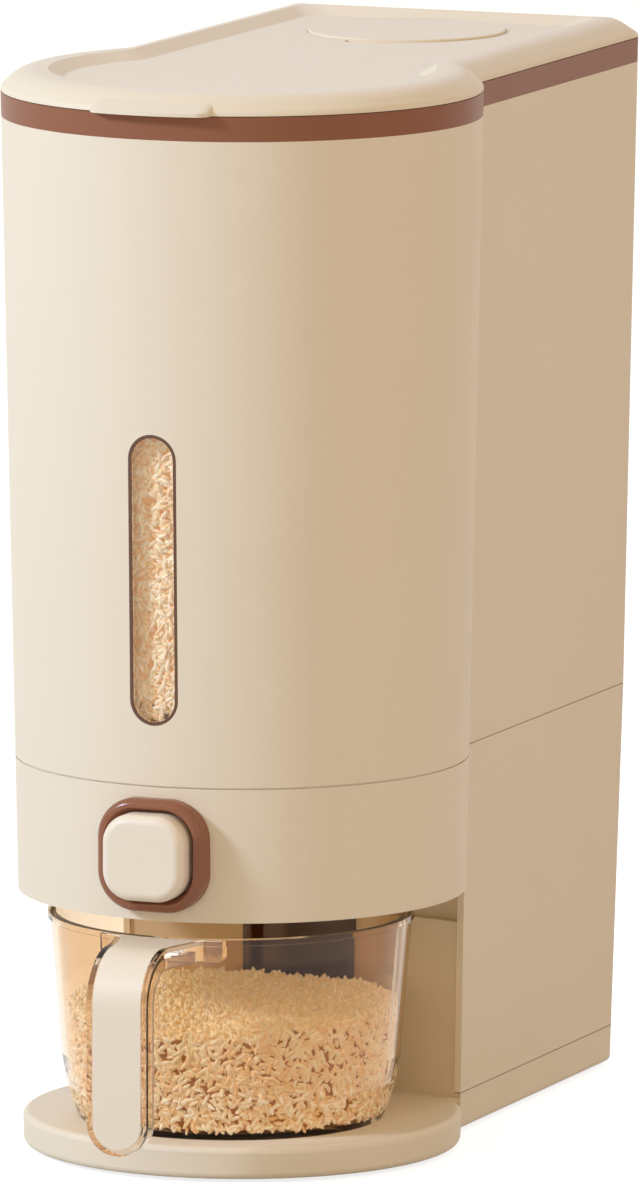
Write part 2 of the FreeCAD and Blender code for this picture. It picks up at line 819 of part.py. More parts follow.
def foot(index, x, y):
    body = new_body(f"foot_body{index}")
    pad(body, circle(new_sketch(body, f"foot_plan{index}"), "foot_radius", x, y), "foot_height + foot_sink")
    fillet(body, "fit_gap", at_level("0"))
    return keep(body, f"foot_{index}")


def base_screws():
    screws = [
        screw(f"base_screw{index}", x, y, "join_level - screw_seat")
        for index, (x, y) in enumerate(mirrored_places(BASE_SCREW_PLACES))
    ]
    return keep(combine("MultiFuse", "base_screw_set", *screws), "base_screws")


# ---------------------------------------------------------------------------------------------
# Lower housing with its alcove, and the floor that carries the mechanism
# ---------------------------------------------------------------------------------------------
def lower_housing():
    body = new_body("housing")
    shell_of(body, "housing_outer", ("join", "join_level"), ("seam", "seam_level"))
    shell_of(body, "housing_inner", ("join", "join_level"), ("seam", "seam_level"),
             inset="housing_wall", cut=True)
    pocket(body, front_cutter(body, "alcove", "alcove_level"), "alcove_height")
    lower = alcove_outline(body, "bulkhead", "join_level", "", "housing_wall")
    pad(body, lower, "ledge_level - join_level")
    ledge = alcove_outline(body, "ledge", "ledge_level", "", "ledge_depth + housing_wall")
    pad(body, ledge, "housing_wall", backward=True)
    upper = alcove_outline(body, "upper_bulkhead", "ledge_level", "ledge_depth",
                           "ledge_depth + housing_wall")
    pad(body, upper, "floor_level - ledge_level")
    opening = new_sketch(body, "bezel_hole", "XZ_Plane")
    rounded(opening, "barrel_half + fit_gap", "barrel_half + fit_gap", "bezel_corner", "0", "button_level")
    pocket(body, opening, "nose_radius", forward=True)
    for label, places, level, half, height in (
            ("base", BASE_SCREW_PLACES, "join_level", "post_half", "post_height"),
            ("floor", FLOOR_SCREW_PLACES, "floor_top_level", "post_radius", "floor_post_height")):
        posts = new_sketch(body, label + "_posts", level=level)
        for x, y in mirrored_places(places):
            rounded(posts, half, "post_radius", "screw_radius", x, y)
        pad(body, posts, height)
        bores = new_sketch(body, label + "_post_bores", level=level)
        circles(bores, "screw_radius + fixed_gap", mirrored_places(places))
        pocket(body, bores, "screw_length", forward=True)
    return keep(body, "lower_housing")


def mechanism_floor():
    body = new_body("floor")
    plan = keyhole(body, "floor_plan", "alcove", "floor_level", "housing_wall + fit_gap")
    pad(body, plan, "floor_thickness")
    wide = "nose_radius + nose_radius"
    rear = new_sketch(body, "floor_rear", level="floor_top_level")
    rectangle(rear, negated(wide), wide, "floor_back", "floor_back + block_back")
    pocket(body, rear, "floor_thickness")
    slot = new_sketch(body, "floor_slot", level="floor_top_level")
    half = "outlet_half_width + chute_wall + fit_gap"
    rectangle(slot, negated(half), half, "- outlet_front - chute_wall - fit_gap",
              "chute_wall + fit_gap - outlet_back")
    pocket(body, slot, "floor_thickness")
    holes = new_sketch(body, "floor_holes", level="floor_top_level")
    circles(holes, "screw_radius + fit_gap", mirrored_places(FLOOR_SCREW_PLACES))
    pocket(body, holes, "floor_thickness")
    return keep(body, "mechanism_floor")


def floor_screws():
    screws = [
        screw(f"floor_screw{index}", x, y, "floor_level")
        for index, (x, y) in enumerate(mirrored_places(FLOOR_SCREW_PLACES))
    ]
    return keep(combine("MultiFuse", "floor_screw_set", *screws), "floor_screws")


# ---------------------------------------------------------------------------------------------
# Chute, shutter and the push button that works it
# ---------------------------------------------------------------------------------------------
def outlet_rectangle(sketch, margin):
    """The outlet slot grown by a margin all round."""
    half = more("outlet_half_width", margin)
    front, back = negated(more("outlet_front", margin)), more("0 - outlet_back", margin)
    return rectangle(sketch, negated(half), half, front, back)


def outlet_spout():
    body = new_body("spout")
    flange = new_sketch(body, "spout_flange", level="floor_top_level")
    pad(body, outlet_rectangle(flange, "chute_wall + chute_flange"), "chute_flange_height")
    tube = new_sketch(body, "spout_tube", level="chute_level")
    pad(body, outlet_rectangle(tube, "chute_wall"), "floor_top_level - chute_level")
    bore = new_sketch(body, "spout_bore", level="floor_top_level + chute_flange_height")
    pocket(body, outlet_rectangle(bore, ""), "chute_flange_height + floor_top_level - chute_level")
    return keep(body, "outlet_spout")


def shutter_guide():
    body = new_body("guide")
    outer = "outlet_half_width + shutter_margin + fit_gap + rail_wall"
    inner = "outlet_half_width + shutter_margin + fit_gap"
    frame = new_sketch(body, "guide_frame", level="floor_top_level")
    rectangle(frame, negated(outer), outer, "- yoke_front", "rail_back + rail_wall")
    pad(body, frame, "neck_level - floor_top_level + rail_wall")
    channel = new_sketch(body, "guide_channel", level="neck_level")
    rectangle(channel, negated(inner), inner, "yoke_thickness - yoke_front", "rail_back")
    pocket(body, channel, "neck_level - floor_top_level")
    slot = new_sketch(body, "guide_slot", level="neck_level + rail_wall")
    rectangle(slot, negated(less(inner, "rail_lip")), less(inner, "rail_lip"),
              "yoke_thickness - yoke_front", "rail_back")
    pocket(body, slot, "rail_wall")
    yoke = new_sketch(body, "yoke", "XZ_Plane", "yoke_front")
    rectangle(yoke, "- yoke_half_width", "yoke_half_width", "floor_top_level",
              "button_level + rod_radius + yoke_thickness")
    pad(body, yoke, "yoke_thickness", backward=True)
    bore = new_sketch(body, "yoke_bore", "XZ_Plane", "yoke_front")
    pocket(body, circle(bore, "rod_radius + running_gap", "0", "button_level"), "yoke_thickness")
    return keep(body, "shutter_guide")


def shutter_plate():
    body = new_body("shutter")
    half = "outlet_half_width + shutter_margin"
    plate = new_sketch(body, "shutter_plan", level="shutter_level")
    rectangle(plate, negated(half), half, "- bracket_front", "shutter_tail - outlet_back")
    pad(body, plate, "shutter_thickness")
    port = new_sketch(body, "shutter_port", level="shutter_top_level")
    rectangle(port, "- outlet_half_width", "outlet_half_width",
              "- outlet_front - stroke", "- outlet_back - stroke")
    pocket(body, port, "shutter_thickness")
    bracket = new_sketch(body, "shutter_bracket", "XZ_Plane", "bracket_front")
    rectangle(bracket, "- bracket_half_width", "bracket_half_width", "shutter_level",
              "button_level + bracket_rise")
    pad(body, bracket, "bracket_thickness", backward=True)
    return keep(body, "shutter_plate")


def button_stem():
    body = new_body("stem")
    rod = new_sketch(body, "rod", "XZ_Plane", "bracket_front")
    pad(body, circle(rod, "rod_radius", "0", "button_level"), "button_reach - button_wall - bracket_front")
    collar = new_sketch(body, "collar", "XZ_Plane", "button_reach - button_depth - collar_thickness")
    pad(body, circle(collar, "collar_radius", "0", "button_level"), "collar_thickness")
    return keep(body, "button_stem")


def squircle(sketch, half, corner):
    return rounded(sketch, half, half, corner, "0", "button_level")


def button_cap():
    body = new_body("cap")
    face = squircle(new_sketch(body, "cap_face", "XZ_Plane", "button_reach - button_depth"),
                    "button_half_width", "button_corner")
    pad(body, face, "button_depth")
    front = size("- button_reach")
    fillet(body, "button_round", lambda box: abs(box.YMax - front) < 1e-4)
    flange = squircle(new_sketch(body, "cap_flange", "XZ_Plane", "button_reach - button_depth"),
                      "button_half_width + button_flange", "button_corner + button_flange")
    pad(body, flange, "button_flange_depth", backward=True)
    hollow = squircle(new_sketch(body, "cap_hollow", "XZ_Plane", "cap_back"),
                      "button_half_width - button_wall", "button_corner - button_wall")
    pocket(body, hollow, "button_reach - button_wall - cap_back", forward=True)
    return keep(body, "button_cap")


def button_bezel():
    body = new_body("ring")
    ring = squircle(new_sketch(body, "ring_flange", "XZ_Plane", "bezel_reach - bezel_barrel_depth"),
                    "bezel_half_width", "bezel_corner")
    pad(body, ring, "bezel_barrel_depth")
    front = size("- bezel_reach")
    fillet(body, "bezel_round", lambda box: abs(box.YMax - front) < 1e-4)
    inside = combine("Cut", "ring_front", body, housing_cone("ring_seat", "press_gap"))
    barrel = new_body("barrel")
    tube = squircle(new_sketch(barrel, "barrel_plan", "XZ_Plane", "bezel_reach - bezel_barrel_depth"),
                    "barrel_half", "bezel_corner - fit_gap")
    pad(barrel, tube, "bezel_barrel_depth - bezel_round")
    bore = new_body("bore")
    front_bore = squircle(new_sketch(bore, "front_bore", "XZ_Plane", "button_reach - button_depth"),
                          "button_half_width + fit_gap", "button_corner + fit_gap")
    pad(bore, front_bore, "button_depth")
    rear_bore = squircle(new_sketch(bore, "rear_bore", "XZ_Plane", "button_reach - button_depth + fit_gap"),
                         "button_half_width + button_flange + fit_gap",
                         "button_corner + button_flange + fit_gap")
    pad(bore, rear_bore, "bezel_barrel_depth", backward=True)
    dish_low = squircle(new_sketch(bore, "dish_low", "XZ_Plane", "bezel_reach - bezel_dish_depth"),
                        "button_half_width + fit_gap", "button_corner + fit_gap")
    dish_high = squircle(new_sketch(bore, "dish_high", "XZ_Plane", "bezel_reach"),
                         "bezel_half_width - bezel_dish", "bezel_corner - bezel_dish + fit_gap")
    loft(bore, dish_low, dish_high)
    solid = combine("MultiFuse", "bezel_solid", inside, barrel)
    return keep(combine("Cut", "bezel_cut", solid, bore), "button_bezel")


def housing_cone(label, outset):
    """The cone of the housing's nose, let out by a gap, from the alcove to the seam."""
    return cone(label, more("alcove_nose", outset), more("seam_nose", outset), "alcove_level", "seam_level")


def return_spring():
    """A round-wire compression spring round the push rod, between yoke and collar."""
    front = size("button_reach - button_depth - collar_thickness - spring_wire")
    back = size("yoke_front + spring_wire")
    pitch = (front - back) / size("spring_turns")
    helix = Part.makeHelix(pitch, front - back, size("spring_radius"))
    turn = FreeCAD.Rotation(Vector(1, 0, 0), 90)
    helix.Placement = FreeCAD.Placement(Vector(0, -back, size("button_level")), turn)
    wire = Part.Wire(helix.Edges)
    start = wire.Edges[0].Vertexes[0].Point
    ring = Part.Wire(Part.makeCircle(size("spring_wire"), start, wire.Edges[0].tangentAt(0)))
    feature = doc.addObject("Part::Feature", "spring")
    feature.Shape = wire.makePipeShell([ring], True, True)
    return keep(feature, "return_spring")


# ---------------------------------------------------------------------------------------------
# Hopper: sloping faces that lead the rice to the outlet, on a ring clamped in the seam
# ---------------------------------------------------------------------------------------------
def hopper_pyramid(body, label, margin):
    """Four sloping faces from the neck up to a mouth wider than the tank."""
    low = new_sketch(body, label + "_low", level="hopper_level")
    outlet_rectangle(low, margin)
    high = new_sketch(body, label + "_high", level="hopper_top_level")
    half = more("mouth_half", margin)
    rectangle(high, negated(half), half, negated(more("mouth_front", margin)), more("mouth_back", margin))
    return loft(body, low, high)


def hopper():
    plan_inset = "housing_wall + fit_gap"
    low, high = ("seam", "seam_level - hopper_skirt"), ("hopper", "hopper_top_level")
    ring = new_body("hopper_ring")
    pad(ring, keyhole(ring, "hopper_flange_plan", "seam", "seam_level", "flange_inset"), "hopper_flange")
    shell_of(ring, "hopper_ring_outer", low, high, inset=plan_inset)
    shell_of(ring, "hopper_ring_inner", low, high, inset=plan_inset + " + skirt_ring_wall", cut=True)
    bore = new_body("hopper_bore")
    shell_of(bore, "hopper_bore_plan", low, high, inset=plan_inset)
    slopes = new_body("hopper_slopes")
    hopper_pyramid(slopes, "slopes", "hopper_wall")
    floor = combine("MultiCommon", "hopper_floor", bore, slopes)
    neck = new_body("hopper_neck")
    plan = new_sketch(neck, "neck_plan", level="neck_level")
    pad(neck, outlet_rectangle(plan, "neck_wall"), "hopper_level - neck_level + neck_wall")
    void = new_body("hopper_void")
    hopper_pyramid(void, "void", "")
    throat = new_sketch(void, "throat", level="neck_level")
    pad(void, outlet_rectangle(throat, ""), "hopper_level - neck_level")
    solid = combine("MultiFuse", "hopper_solid", ring, floor, neck)
    return keep(combine("Cut", "hopper_cut", solid, void), "hopper")


# ---------------------------------------------------------------------------------------------
# Tank with its window
# ---------------------------------------------------------------------------------------------
def tank_shell():
    body = new_body("tank")
    low, high = ("seam", "tank_level"), ("band", "band_level")
    shell_of(body, "tank_outer", low, high)
    shell_of(body, "tank_inner", low, high, inset="tank_wall", cut=True)
    window = new_sketch(body, "window", "XZ_Plane")
    stadium(window, "window_half_width", "window_low", "window_high")
    pocket(body, window, "nose_radius", forward=True)
    return keep(body, "tank_shell")


def nose_skin(label, outer_inset, inner_inset):
    """The conical front wall between two depths below the outer face."""
    low, high = "tank_level", "band_level"
    outer = cone(label + "_out", less("seam_nose", outer_inset), less("nose_radius", outer_inset), low, high)
    inner = cone(label + "_in", less("seam_nose", inner_inset), less("nose_radius", inner_inset), low, high)
    return combine("Cut", label, outer, inner)


def window_prism(label, margin):
    """A stadium-shaped prism through the window, its edge moved inward by a margin."""
    body = new_body(label)
    plan = new_sketch(body, label + "_plan", "XZ_Plane", "window_start")
    half = less("window_half_width", margin)
    stadium(plan, half, more("window_low", margin), less("window_high", margin))
    pad(body, plan, "window_bite + nose_radius - window_start")
    return body


def window_gasket():
    skin = nose_skin("gasket_skin", "0", "tank_wall")
    outer = window_prism("gasket_outer", "press_gap")
    inner = window_prism("gasket_inner", "gasket_width")
    ring = combine("Cut", "gasket_ring", outer, inner)
    return keep(combine("MultiCommon", "gasket_cut", skin, ring), "window_gasket")


def window_lens():
    depth = "tank_wall + press_gap"
    inner = depth + " + lens_flange_thickness"
    pane = combine("MultiCommon", "pane", nose_skin("pane_skin", "lens_recess", inner),
                   window_prism("pane_prism", "gasket_width + press_gap"))
    flange = combine("MultiCommon", "pane_flange", nose_skin("flange_skin", depth, inner),
                     window_prism("flange_prism", "0 - lens_flange"))
    return keep(combine("MultiFuse", "lens_solid", pane, flange), "window_lens")


# ---------------------------------------------------------------------------------------------
# Band round the mouth, lid, seal and hinge
# ---------------------------------------------------------------------------------------------
def knuckle(body, label, start, on_lid):
    """One hinge barrel with the arm that joins it to the band or to the lid."""
    sketch = new_sketch(body, label, "YZ_Plane", start)
    radius = "knuckle_radius"
    near = "hinge_back - knuckle_radius"
    if on_lid:
        points = [
            (less("rim_back", "pin_radius + pin_radius"), "rim_level + knuckle_radius"),
            ("hinge_back", "rim_level + knuckle_radius"), ("hinge_back", "rim_level - knuckle_radius"),
            (near, "rim_level"), (near, "lid_foot_level"),
            (less("rim_back", "pin_radius + pin_radius"), "lid_foot_level"),
        ]
        bows = {1: (radius, -1), 2: (radius, -1)}
    else:
        points = [
            (less("rim_back", "pin_radius"), "rim_level - knuckle_radius"),
            ("hinge_back", "rim_level - knuckle_radius"), ("hinge_back", "rim_level + knuckle_radius"),
            (near, "rim_level"), (less("rim_back", "pin_radius"), "rim_level"),
        ]
        bows = {1: (radius, 1), 2: (radius, 1)}
    polygon(sketch, points, bows)
    return sketch


def hinge_bore(body, label, radius):
    sketch = new_sketch(body, label, "YZ_Plane")
    circle(sketch, radius, "hinge_back", "rim_level")
    return pocket(body, sketch, "hinge_half_length + hinge_half_length + knuckle_gap", both_ways=True)


def trim_band():
    body = new_body("band")
    low, high = ("band", "band_level"), ("rim", "rim_level")
    shell_of(body, "band_outer", low, high)
    shell_of(body, "band_inner", low, high, inset="band_wall", cut=True)
    tongue = keyhole(body, "band_tongue_plan", "band", "band_level - band_tongue", "tank_wall + fit_gap")
    pad(body, tongue, "band_tongue + tongue_wall")
    inside = keyhole(body, "band_tongue_in", "band", "band_level - band_tongue",
                     "tank_wall + fit_gap + tongue_wall")
    pocket(body, inside, "band_tongue + tongue_wall", forward=True)
    half = "hinge_half_length"
    middle = "- knuckle_half"
    for index, start in enumerate((negated(half), middle, less(half, "knuckle_length"))):
        pad(body, knuckle(body, f"band_knuckle{index}", start, False), "knuckle_length")
    hinge_bore(body, "band_bore", "pin_radius + fixed_gap")
    return keep(body, "trim_band")


def hinge_pin():
    body = new_body("pin")
    plan = new_sketch(body, "pin_plan", "YZ_Plane")
    pad(body, circle(plan, "pin_radius", "hinge_back", "rim_level"),
        "hinge_half_length + hinge_half_length", both_ways=True)
    return keep(body, "hinge_pin")


def lip_outline(body, label, level, lean):
    """The thumb lip: a proud arc with round ends, moved back by its lean."""
    sketch = new_sketch(body, label, level=level)
    places = ("lip_root - rim_nose", "- lip_side", "- lip_front_side")
    root, side, front = (more(place, lean) for place in places)
    points = [
        ("- lip_half_width", root), ("- lip_half_width", side), ("- lip_front_half", front),
        ("lip_front_half", front), ("lip_half_width", side), ("lip_half_width", root),
    ]
    ends = ("lip_end_round", 1)
    return polygon(sketch, points, {1: ends, 2: ("rim_nose + lip_reach", 1), 3: ends})


def lid():
    body = new_body("cover")
    edge = "lid_foot_level + lid_edge"
    pad(body, keyhole(body, "lid_plan", "rim", "lid_foot_level"), "lid_edge")
    shell_of(body, "shoulder", ("rim", edge), ("rim", "lid_top_level"), top_inset="lid_shoulder",
             corner="corner_radius")
    fillet(body, "lid_round", at_level("lid_top_level"))
    fillet(body, "lid_edge_round", at_level(edge))
    shell_of(body, "panel", ("recess", "panel_level"), ("recess", "lid_top_level"), cut=True,
             inset="rim_slope_width", corner="panel_corner", top_inset="0", flare="panel_flare")
    pad(body, lip_outline(body, "lip", "lid_foot_level", ""), "lid_edge")
    loft(body, lip_outline(body, "lip_low", edge, ""),
         lip_outline(body, "lip_high", "lid_foot_level + lip_height", "lip_lean"))
    hollow = keyhole(body, "lid_hollow", "rim", "lid_foot_level", "lid_wall + lid_wall")
    pocket(body, hollow, "lid_ceiling_level - lid_foot_level", forward=True)
    groove = keyhole(body, "skirt_low", "rim", "skirt_level", "band_wall + skirt_gap + gasket_groove")
    pad(body, groove, "lid_ceiling_level - skirt_level")
    upper = keyhole(body, "skirt_high", "rim", "gasket_top_level", "band_wall + skirt_gap")
    pad(body, upper, "lid_ceiling_level - gasket_top_level")
    inside = keyhole(body, "skirt_in", "rim", "skirt_level",
                     "band_wall + skirt_gap + gasket_groove + skirt_wall")
    pocket(body, inside, "lid_ceiling_level - skirt_level", forward=True)
    boss = new_sketch(body, "pocket_boss", level="lid_ceiling_level")
    circle(boss, "cover_radius + fit_gap + pocket_boss_wall", "0", "pocket_back")
    pad(body, boss, "pocket_boss_drop", backward=True)
    seat = new_sketch(body, "pocket_seat", level="panel_level")
    circle(seat, "cover_radius + fit_gap", "0", "pocket_back")
    pocket(body, seat, "panel_level - pocket_seat_level")
    hole = new_sketch(body, "pocket_hole", level="panel_level")
    circle(hole, "pocket_radius + pocket_wall + fit_gap", "0", "pocket_back")
    pocket(body, hole, "panel_level - lid_foot_level + pocket_depth")
    notch = new_sketch(body, "finger_notch", level="panel_level")
    rounded(notch, "notch_half_width", "notch_reach", "notch_reach - fit_gap",
            "0", "pocket_back - cover_radius")
    pocket(body, notch, "notch_depth")
    start = "knuckle_half + knuckle_gap"
    length = "hinge_half_length - knuckle_length - knuckle_half - knuckle_gap - knuckle_gap"
    for index, place in enumerate((start, negated(more(start, length)))):
        pad(body, knuckle(body, f"lid_knuckle{index}", place, True), length)
    hinge_bore(body, "lid_bore", "pin_radius + running_gap")
    return keep(body, "lid")


def lid_gasket():
    body = new_body("seal")
    level = "skirt_level + gasket_lift"
    outer = keyhole(body, "seal_plan", "rim", level, "band_wall + skirt_gap - gasket_bulge")
    pad(body, outer, "gasket_height")
    inner = keyhole(body, "seal_in", "rim", level, "band_wall + skirt_gap + gasket_groove - fixed_gap")
    pocket(body, inner, "gasket_height", forward=True)
    return keep(body, "lid_gasket")


def desiccant_box():
    body = new_body("sachet_box")
    flange = new_sketch(body, "box_flange", level="pocket_seat_level")
    pad(body, circle(flange, "cover_radius - fit_gap", "0", "pocket_back"), "pocket_flange")
    wall = new_sketch(body, "box_wall", level="pocket_seat_level")
    pad(body, circle(wall, "pocket_radius + pocket_wall", "0", "pocket_back"), "pocket_depth", backward=True)
    inside = new_sketch(body, "box_inside", level="pocket_seat_level + pocket_flange")
    pocket(body, circle(inside, "pocket_radius", "0", "pocket_back"),
           "pocket_depth + pocket_flange - pocket_wall")
    pitch = "vent_pitch"
    steps = (pitch, more(pitch, pitch), more(pitch, more(pitch, pitch)))
    for index, x in enumerate(("0",) + steps + tuple(negated(step) for step in steps)):
        vent = new_sketch(body, f"vent{index}", level="pocket_seat_level - pocket_depth + pocket_wall")
        rounded(vent, "vent_half_width", "vent_half_length", "vent_round", x, "pocket_back")
        pocket(body, vent, "pocket_wall")
    return keep(body, "desiccant_box")


def desiccant_cover():
    body = new_body("sachet_cover")
    level = "pocket_seat_level + pocket_flange"
    disc = new_sketch(body, "cover_disc", level=level)
    pad(body, circle(disc, "cover_radius", "0", "pocket_back"), "cover_thickness")
    fillet(body, "fit_gap + fit_gap", at_level(level + " + cover_thickness"))
    plug = new_sketch(body, "cover_plug", level=level)
    pad(body, circle(plug, "pocket_radius - fit_gap", "0", "pocket_back"), "cover_plug_depth", backward=True)
    inside = new_sketch(body, "cover_plug_in", level=less(level, "cover_plug_depth"))
    pocket(body, circle(inside, "pocket_radius - fit_gap - pocket_wall", "0", "pocket_back"),
           "cover_plug_depth", forward=True)
    return keep(body, "desiccant_cover")


# ---------------------------------------------------------------------------------------------
# Cup and handle
# ---------------------------------------------------------------------------------------------
def cup_outside(gap):
    """Right-hand outline of the cup's outer face, from the floor to the rim, let out by a gap."""
    bead_level = less("cup_rim_level - cup_wall", gap)
    rim = more("cup_rim_radius", gap)
    return [
        ("0", "deck_level"), (more("cup_foot_radius", gap), "deck_level"),
        (more("cup_knee_radius", gap), "deck_level + cup_knee_height"),
        (less(rim, "cup_rim_bead"), bead_level), (rim, bead_level),
    ]


def cup_body():
    body = new_body("cup")
    sketch = new_sketch(body, "cup_profile", "XZ_Plane", "cup_offset")
    points = cup_outside("") + [
        ("cup_rim_radius", "cup_rim_level"),
        ("cup_rim_radius - cup_rim_bead - cup_wall", "cup_rim_level"),
        ("cup_knee_radius - cup_wall", "deck_level + cup_knee_height"),
        ("cup_foot_radius - cup_wall", "deck_level + cup_floor"), ("0", "deck_level + cup_floor"),
    ]
    polygon(sketch, points, {1: ("cup_bow", 1), 7: ("cup_bow - cup_wall", -1)})
    revolve(body, sketch)
    return keep(body, "cup_body")


def cup_clearance(label):
    """Everything within the cup's outer face, and a little more, for the handle to fit on."""
    body = new_body(label)
    sketch = new_sketch(body, label + "_profile", "XZ_Plane", "cup_offset")
    top = "cup_rim_level + cup_wall"
    points = cup_outside("press_gap") + [("cup_rim_radius + press_gap", top), ("0", top)]
    polygon(sketch, points, {1: ("cup_bow", 1)})
    revolve(body, sketch)
    return body


def strap(sketch, depth, thickness, end):
    """Side view of the handle: out from the rim, round a bend and down, a strip below the face."""
    reach = less("handle_reach", depth)
    top = less("cup_rim_level", depth)
    inner_reach, inner_top = less(reach, thickness), less(top, thickness)
    bend = "handle_reach - handle_bend"
    bend_level = "cup_rim_level - handle_bend"
    outer_radius = less("handle_bend", depth)
    points = [
        ("- strap_root", top), (negated(bend), top), (negated(reach), bend_level), (negated(reach), end),
        (negated(inner_reach), end), (negated(inner_reach), bend_level), (negated(bend), inner_top),
        ("- strap_root", inner_top),
    ]
    bows = {1: (outer_radius, 1), 5: (less(outer_radius, thickness), -1)}
    return polygon(sketch, points, bows)


def fan(sketch, narrow, wide, root):
    """Top view of the handle's root: it widens in hollow curves towards the cup."""
    points = [(negated(wide), root), (negated(narrow), "- fan_tip"), (narrow, "- fan_tip"), (wide, root)]
    return polygon(sketch, points, {0: ("fan_curve", -1), 2: ("fan_curve", -1)})


def handle_layer(label, half, depth, thickness, end, flare="handle_flare", root="- fan_root"):
    """A layer of the handle, so deep below its face: strap with a round end, and fan at the rim."""
    body = new_body(label)
    side = strap(new_sketch(body, label + "_side", "YZ_Plane"), depth, thickness, end)
    pad(body, side, more(half, half), both_ways=True)
    on_end = at_level(end)
    fillet(body, less(half, "press_gap"), lambda box: on_end(box) and box.XLength < 1e-4)
    plate = new_sketch(body, label + "_fan", level=less("cup_rim_level", depth))
    pad(body, fan(plate, half, more(half, flare), root), thickness, backward=True)
    return body


def rim_bracket():
    """A stretch of ring under and in front of the rim, its lower ends rounded."""
    body = new_body("bracket")
    low = "cup_rim_level - bracket_drop"
    sketch = new_sketch(body, "bracket_plan", level=low)
    points = [
        ("- bracket_half_length", "- bracket_inner_side"), ("- bracket_half_length", "- bracket_outer_side"),
        ("bracket_half_length", "- bracket_outer_side"), ("bracket_half_length", "- bracket_inner_side"),
    ]
    polygon(sketch, points, {1: ("bracket_outer", 1), 3: ("bracket_inner", -1)})
    pad(body, sketch, "bracket_drop")
    on_low = at_level(low)
    fillet(body, "bracket_round", lambda box: on_low(box) and box.XLength < 1e-4)
    return body


def handle_frame():
    half, end = "handle_half_width", "handle_end_level"
    outside = handle_layer("frame", half, "0", "handle_thickness", end)
    recess = handle_layer("recess", less(half, "insert_margin"), "0", "insert_thickness",
                          more(end, "insert_margin"))
    channel = handle_layer("channel", less(half, "handle_wall"), "insert_thickness + handle_web",
                           "handle_thickness - insert_thickness", more(end, "handle_wall"),
                           "channel_flare", "- strap_root")
    solid = combine("MultiFuse", "frame_solid", outside, rim_bracket())
    hollows = combine("MultiFuse", "frame_hollows", recess, channel, cup_clearance("frame_clearance"))
    return keep(combine("Cut", "frame_cut", solid, hollows), "handle_frame")


def handle_insert():
    margin = "insert_margin + press_gap"
    layer = handle_layer("insert", less("handle_half_width", margin), "0", "insert_thickness - fixed_gap",
                         more("handle_end_level", margin))
    return keep(combine("Cut", "insert_cut", layer, cup_clearance("insert_clearance")), "handle_insert")


# ---------------------------------------------------------------------------------------------
# Build, check and write
# ---------------------------------------------------------------------------------------------
def build():
    base_tray()
    for index, (x, y) in enumerate(mirrored_places(FOOT_PLACES), start=1):
        foot(index, x, y)
    for make in (base_screws, lower_housing, mechanism_floor, floor_screws, outlet_spout, shutter_guide,
                 shutter_plate, button_stem, button_cap, button_bezel, return_spring, hopper, tank_shell,
                 window_gasket, window_lens, trim_band, hinge_pin, lid, lid_gasket, desiccant_box,
                 desiccant_cover, cup_body, handle_frame, handle_insert):
        make()
    doc.recompute()


def check():
    for thing in doc.Objects:
        if "Invalid" in thing.State or "Error" in thing.State:
            raise RuntimeError(f"{thing.Label} failed: {thing.State}")
    for thing in parts:
        shape = thing.Shape
        if shape.isNull() or not shape.isValid() or not shape.Solids:
            raise RuntimeError(f"{thing.Label} has no valid solid")


def write():
    os.makedirs("parts", exist_ok=True)
    for thing in parts:
        thing.Shape.exportStep(os.path.join("parts", thing.Label + ".step"))


build()
check()
write()
print(f"{len(parts)} parts written")
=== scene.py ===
# %% [markdown]
# # A rice dispenser in Blender
#
# This notebook dresses a finished CAD model of a kitchen rice dispenser: a tall bin with a keyhole
# plan, a lid on a hinge, a narrow window, a push button and a pull-out cup. The CAD parts already
# have their true shapes, so they are only given materials here. What CAD leaves out is added: a
# thin dark sheet of painted shade, a joint line, the rice itself, the light, the floor and the
# camera.
#
# The first cell loads the CAD model as a fixed frame. Every piece is in metres and stands where
# the CAD says, so nothing has to be fitted by eye.

import math
import random

import bmesh
import bpy
import numpy as np
from mathutils import Matrix, Vector


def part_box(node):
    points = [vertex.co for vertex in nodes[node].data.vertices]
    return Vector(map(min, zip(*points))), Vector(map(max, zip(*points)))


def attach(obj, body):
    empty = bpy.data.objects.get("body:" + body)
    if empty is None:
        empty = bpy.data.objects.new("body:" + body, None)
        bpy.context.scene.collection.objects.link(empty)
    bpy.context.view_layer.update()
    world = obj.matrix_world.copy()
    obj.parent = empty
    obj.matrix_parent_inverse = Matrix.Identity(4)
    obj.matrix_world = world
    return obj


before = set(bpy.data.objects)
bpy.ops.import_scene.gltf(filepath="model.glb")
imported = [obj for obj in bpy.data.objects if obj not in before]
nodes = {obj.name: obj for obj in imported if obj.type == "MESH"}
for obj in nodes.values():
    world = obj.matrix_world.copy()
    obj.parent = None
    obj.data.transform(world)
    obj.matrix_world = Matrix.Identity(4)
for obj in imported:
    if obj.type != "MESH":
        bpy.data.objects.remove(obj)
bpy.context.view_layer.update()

# %% [markdown]
# ## Where things are
#
# A few places are used again and again: the upright axis of the round nose, the cup's own axis and
# the levels of its floor and rim. They are read from the CAD nodes' boxes, so they stay right if
# the CAD model changes.

# %% Read the main places
NOSE_RADIUS = 0.090                      # of the tank, at its upper edge
tank_low, tank_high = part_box("tank_shell")
cup_low, cup_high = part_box("cup_body")
lens_low, lens_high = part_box("window_lens")
nose_axis = Vector((0.0, tank_low[1] + NOSE_RADIUS, 0.0))
cup_axis = Vector((0.0, (cup_low[1] + cup_high[1]) / 2, 0.0))
cup_rim_radius = (cup_high[0] - cup_low[0]) / 2
print("nose axis", tuple(nose_axis), "cup axis", tuple(cup_axis), "cup radius", cup_rim_radius)

# %% [markdown]
# ## The camera
#
# The view is that of a long lens from a few metres away, slightly to the right of the front and
# slightly above. A long lens keeps upright edges almost parallel. The small shift places the bin
# in the picture without turning the camera, which would make its sides converge.

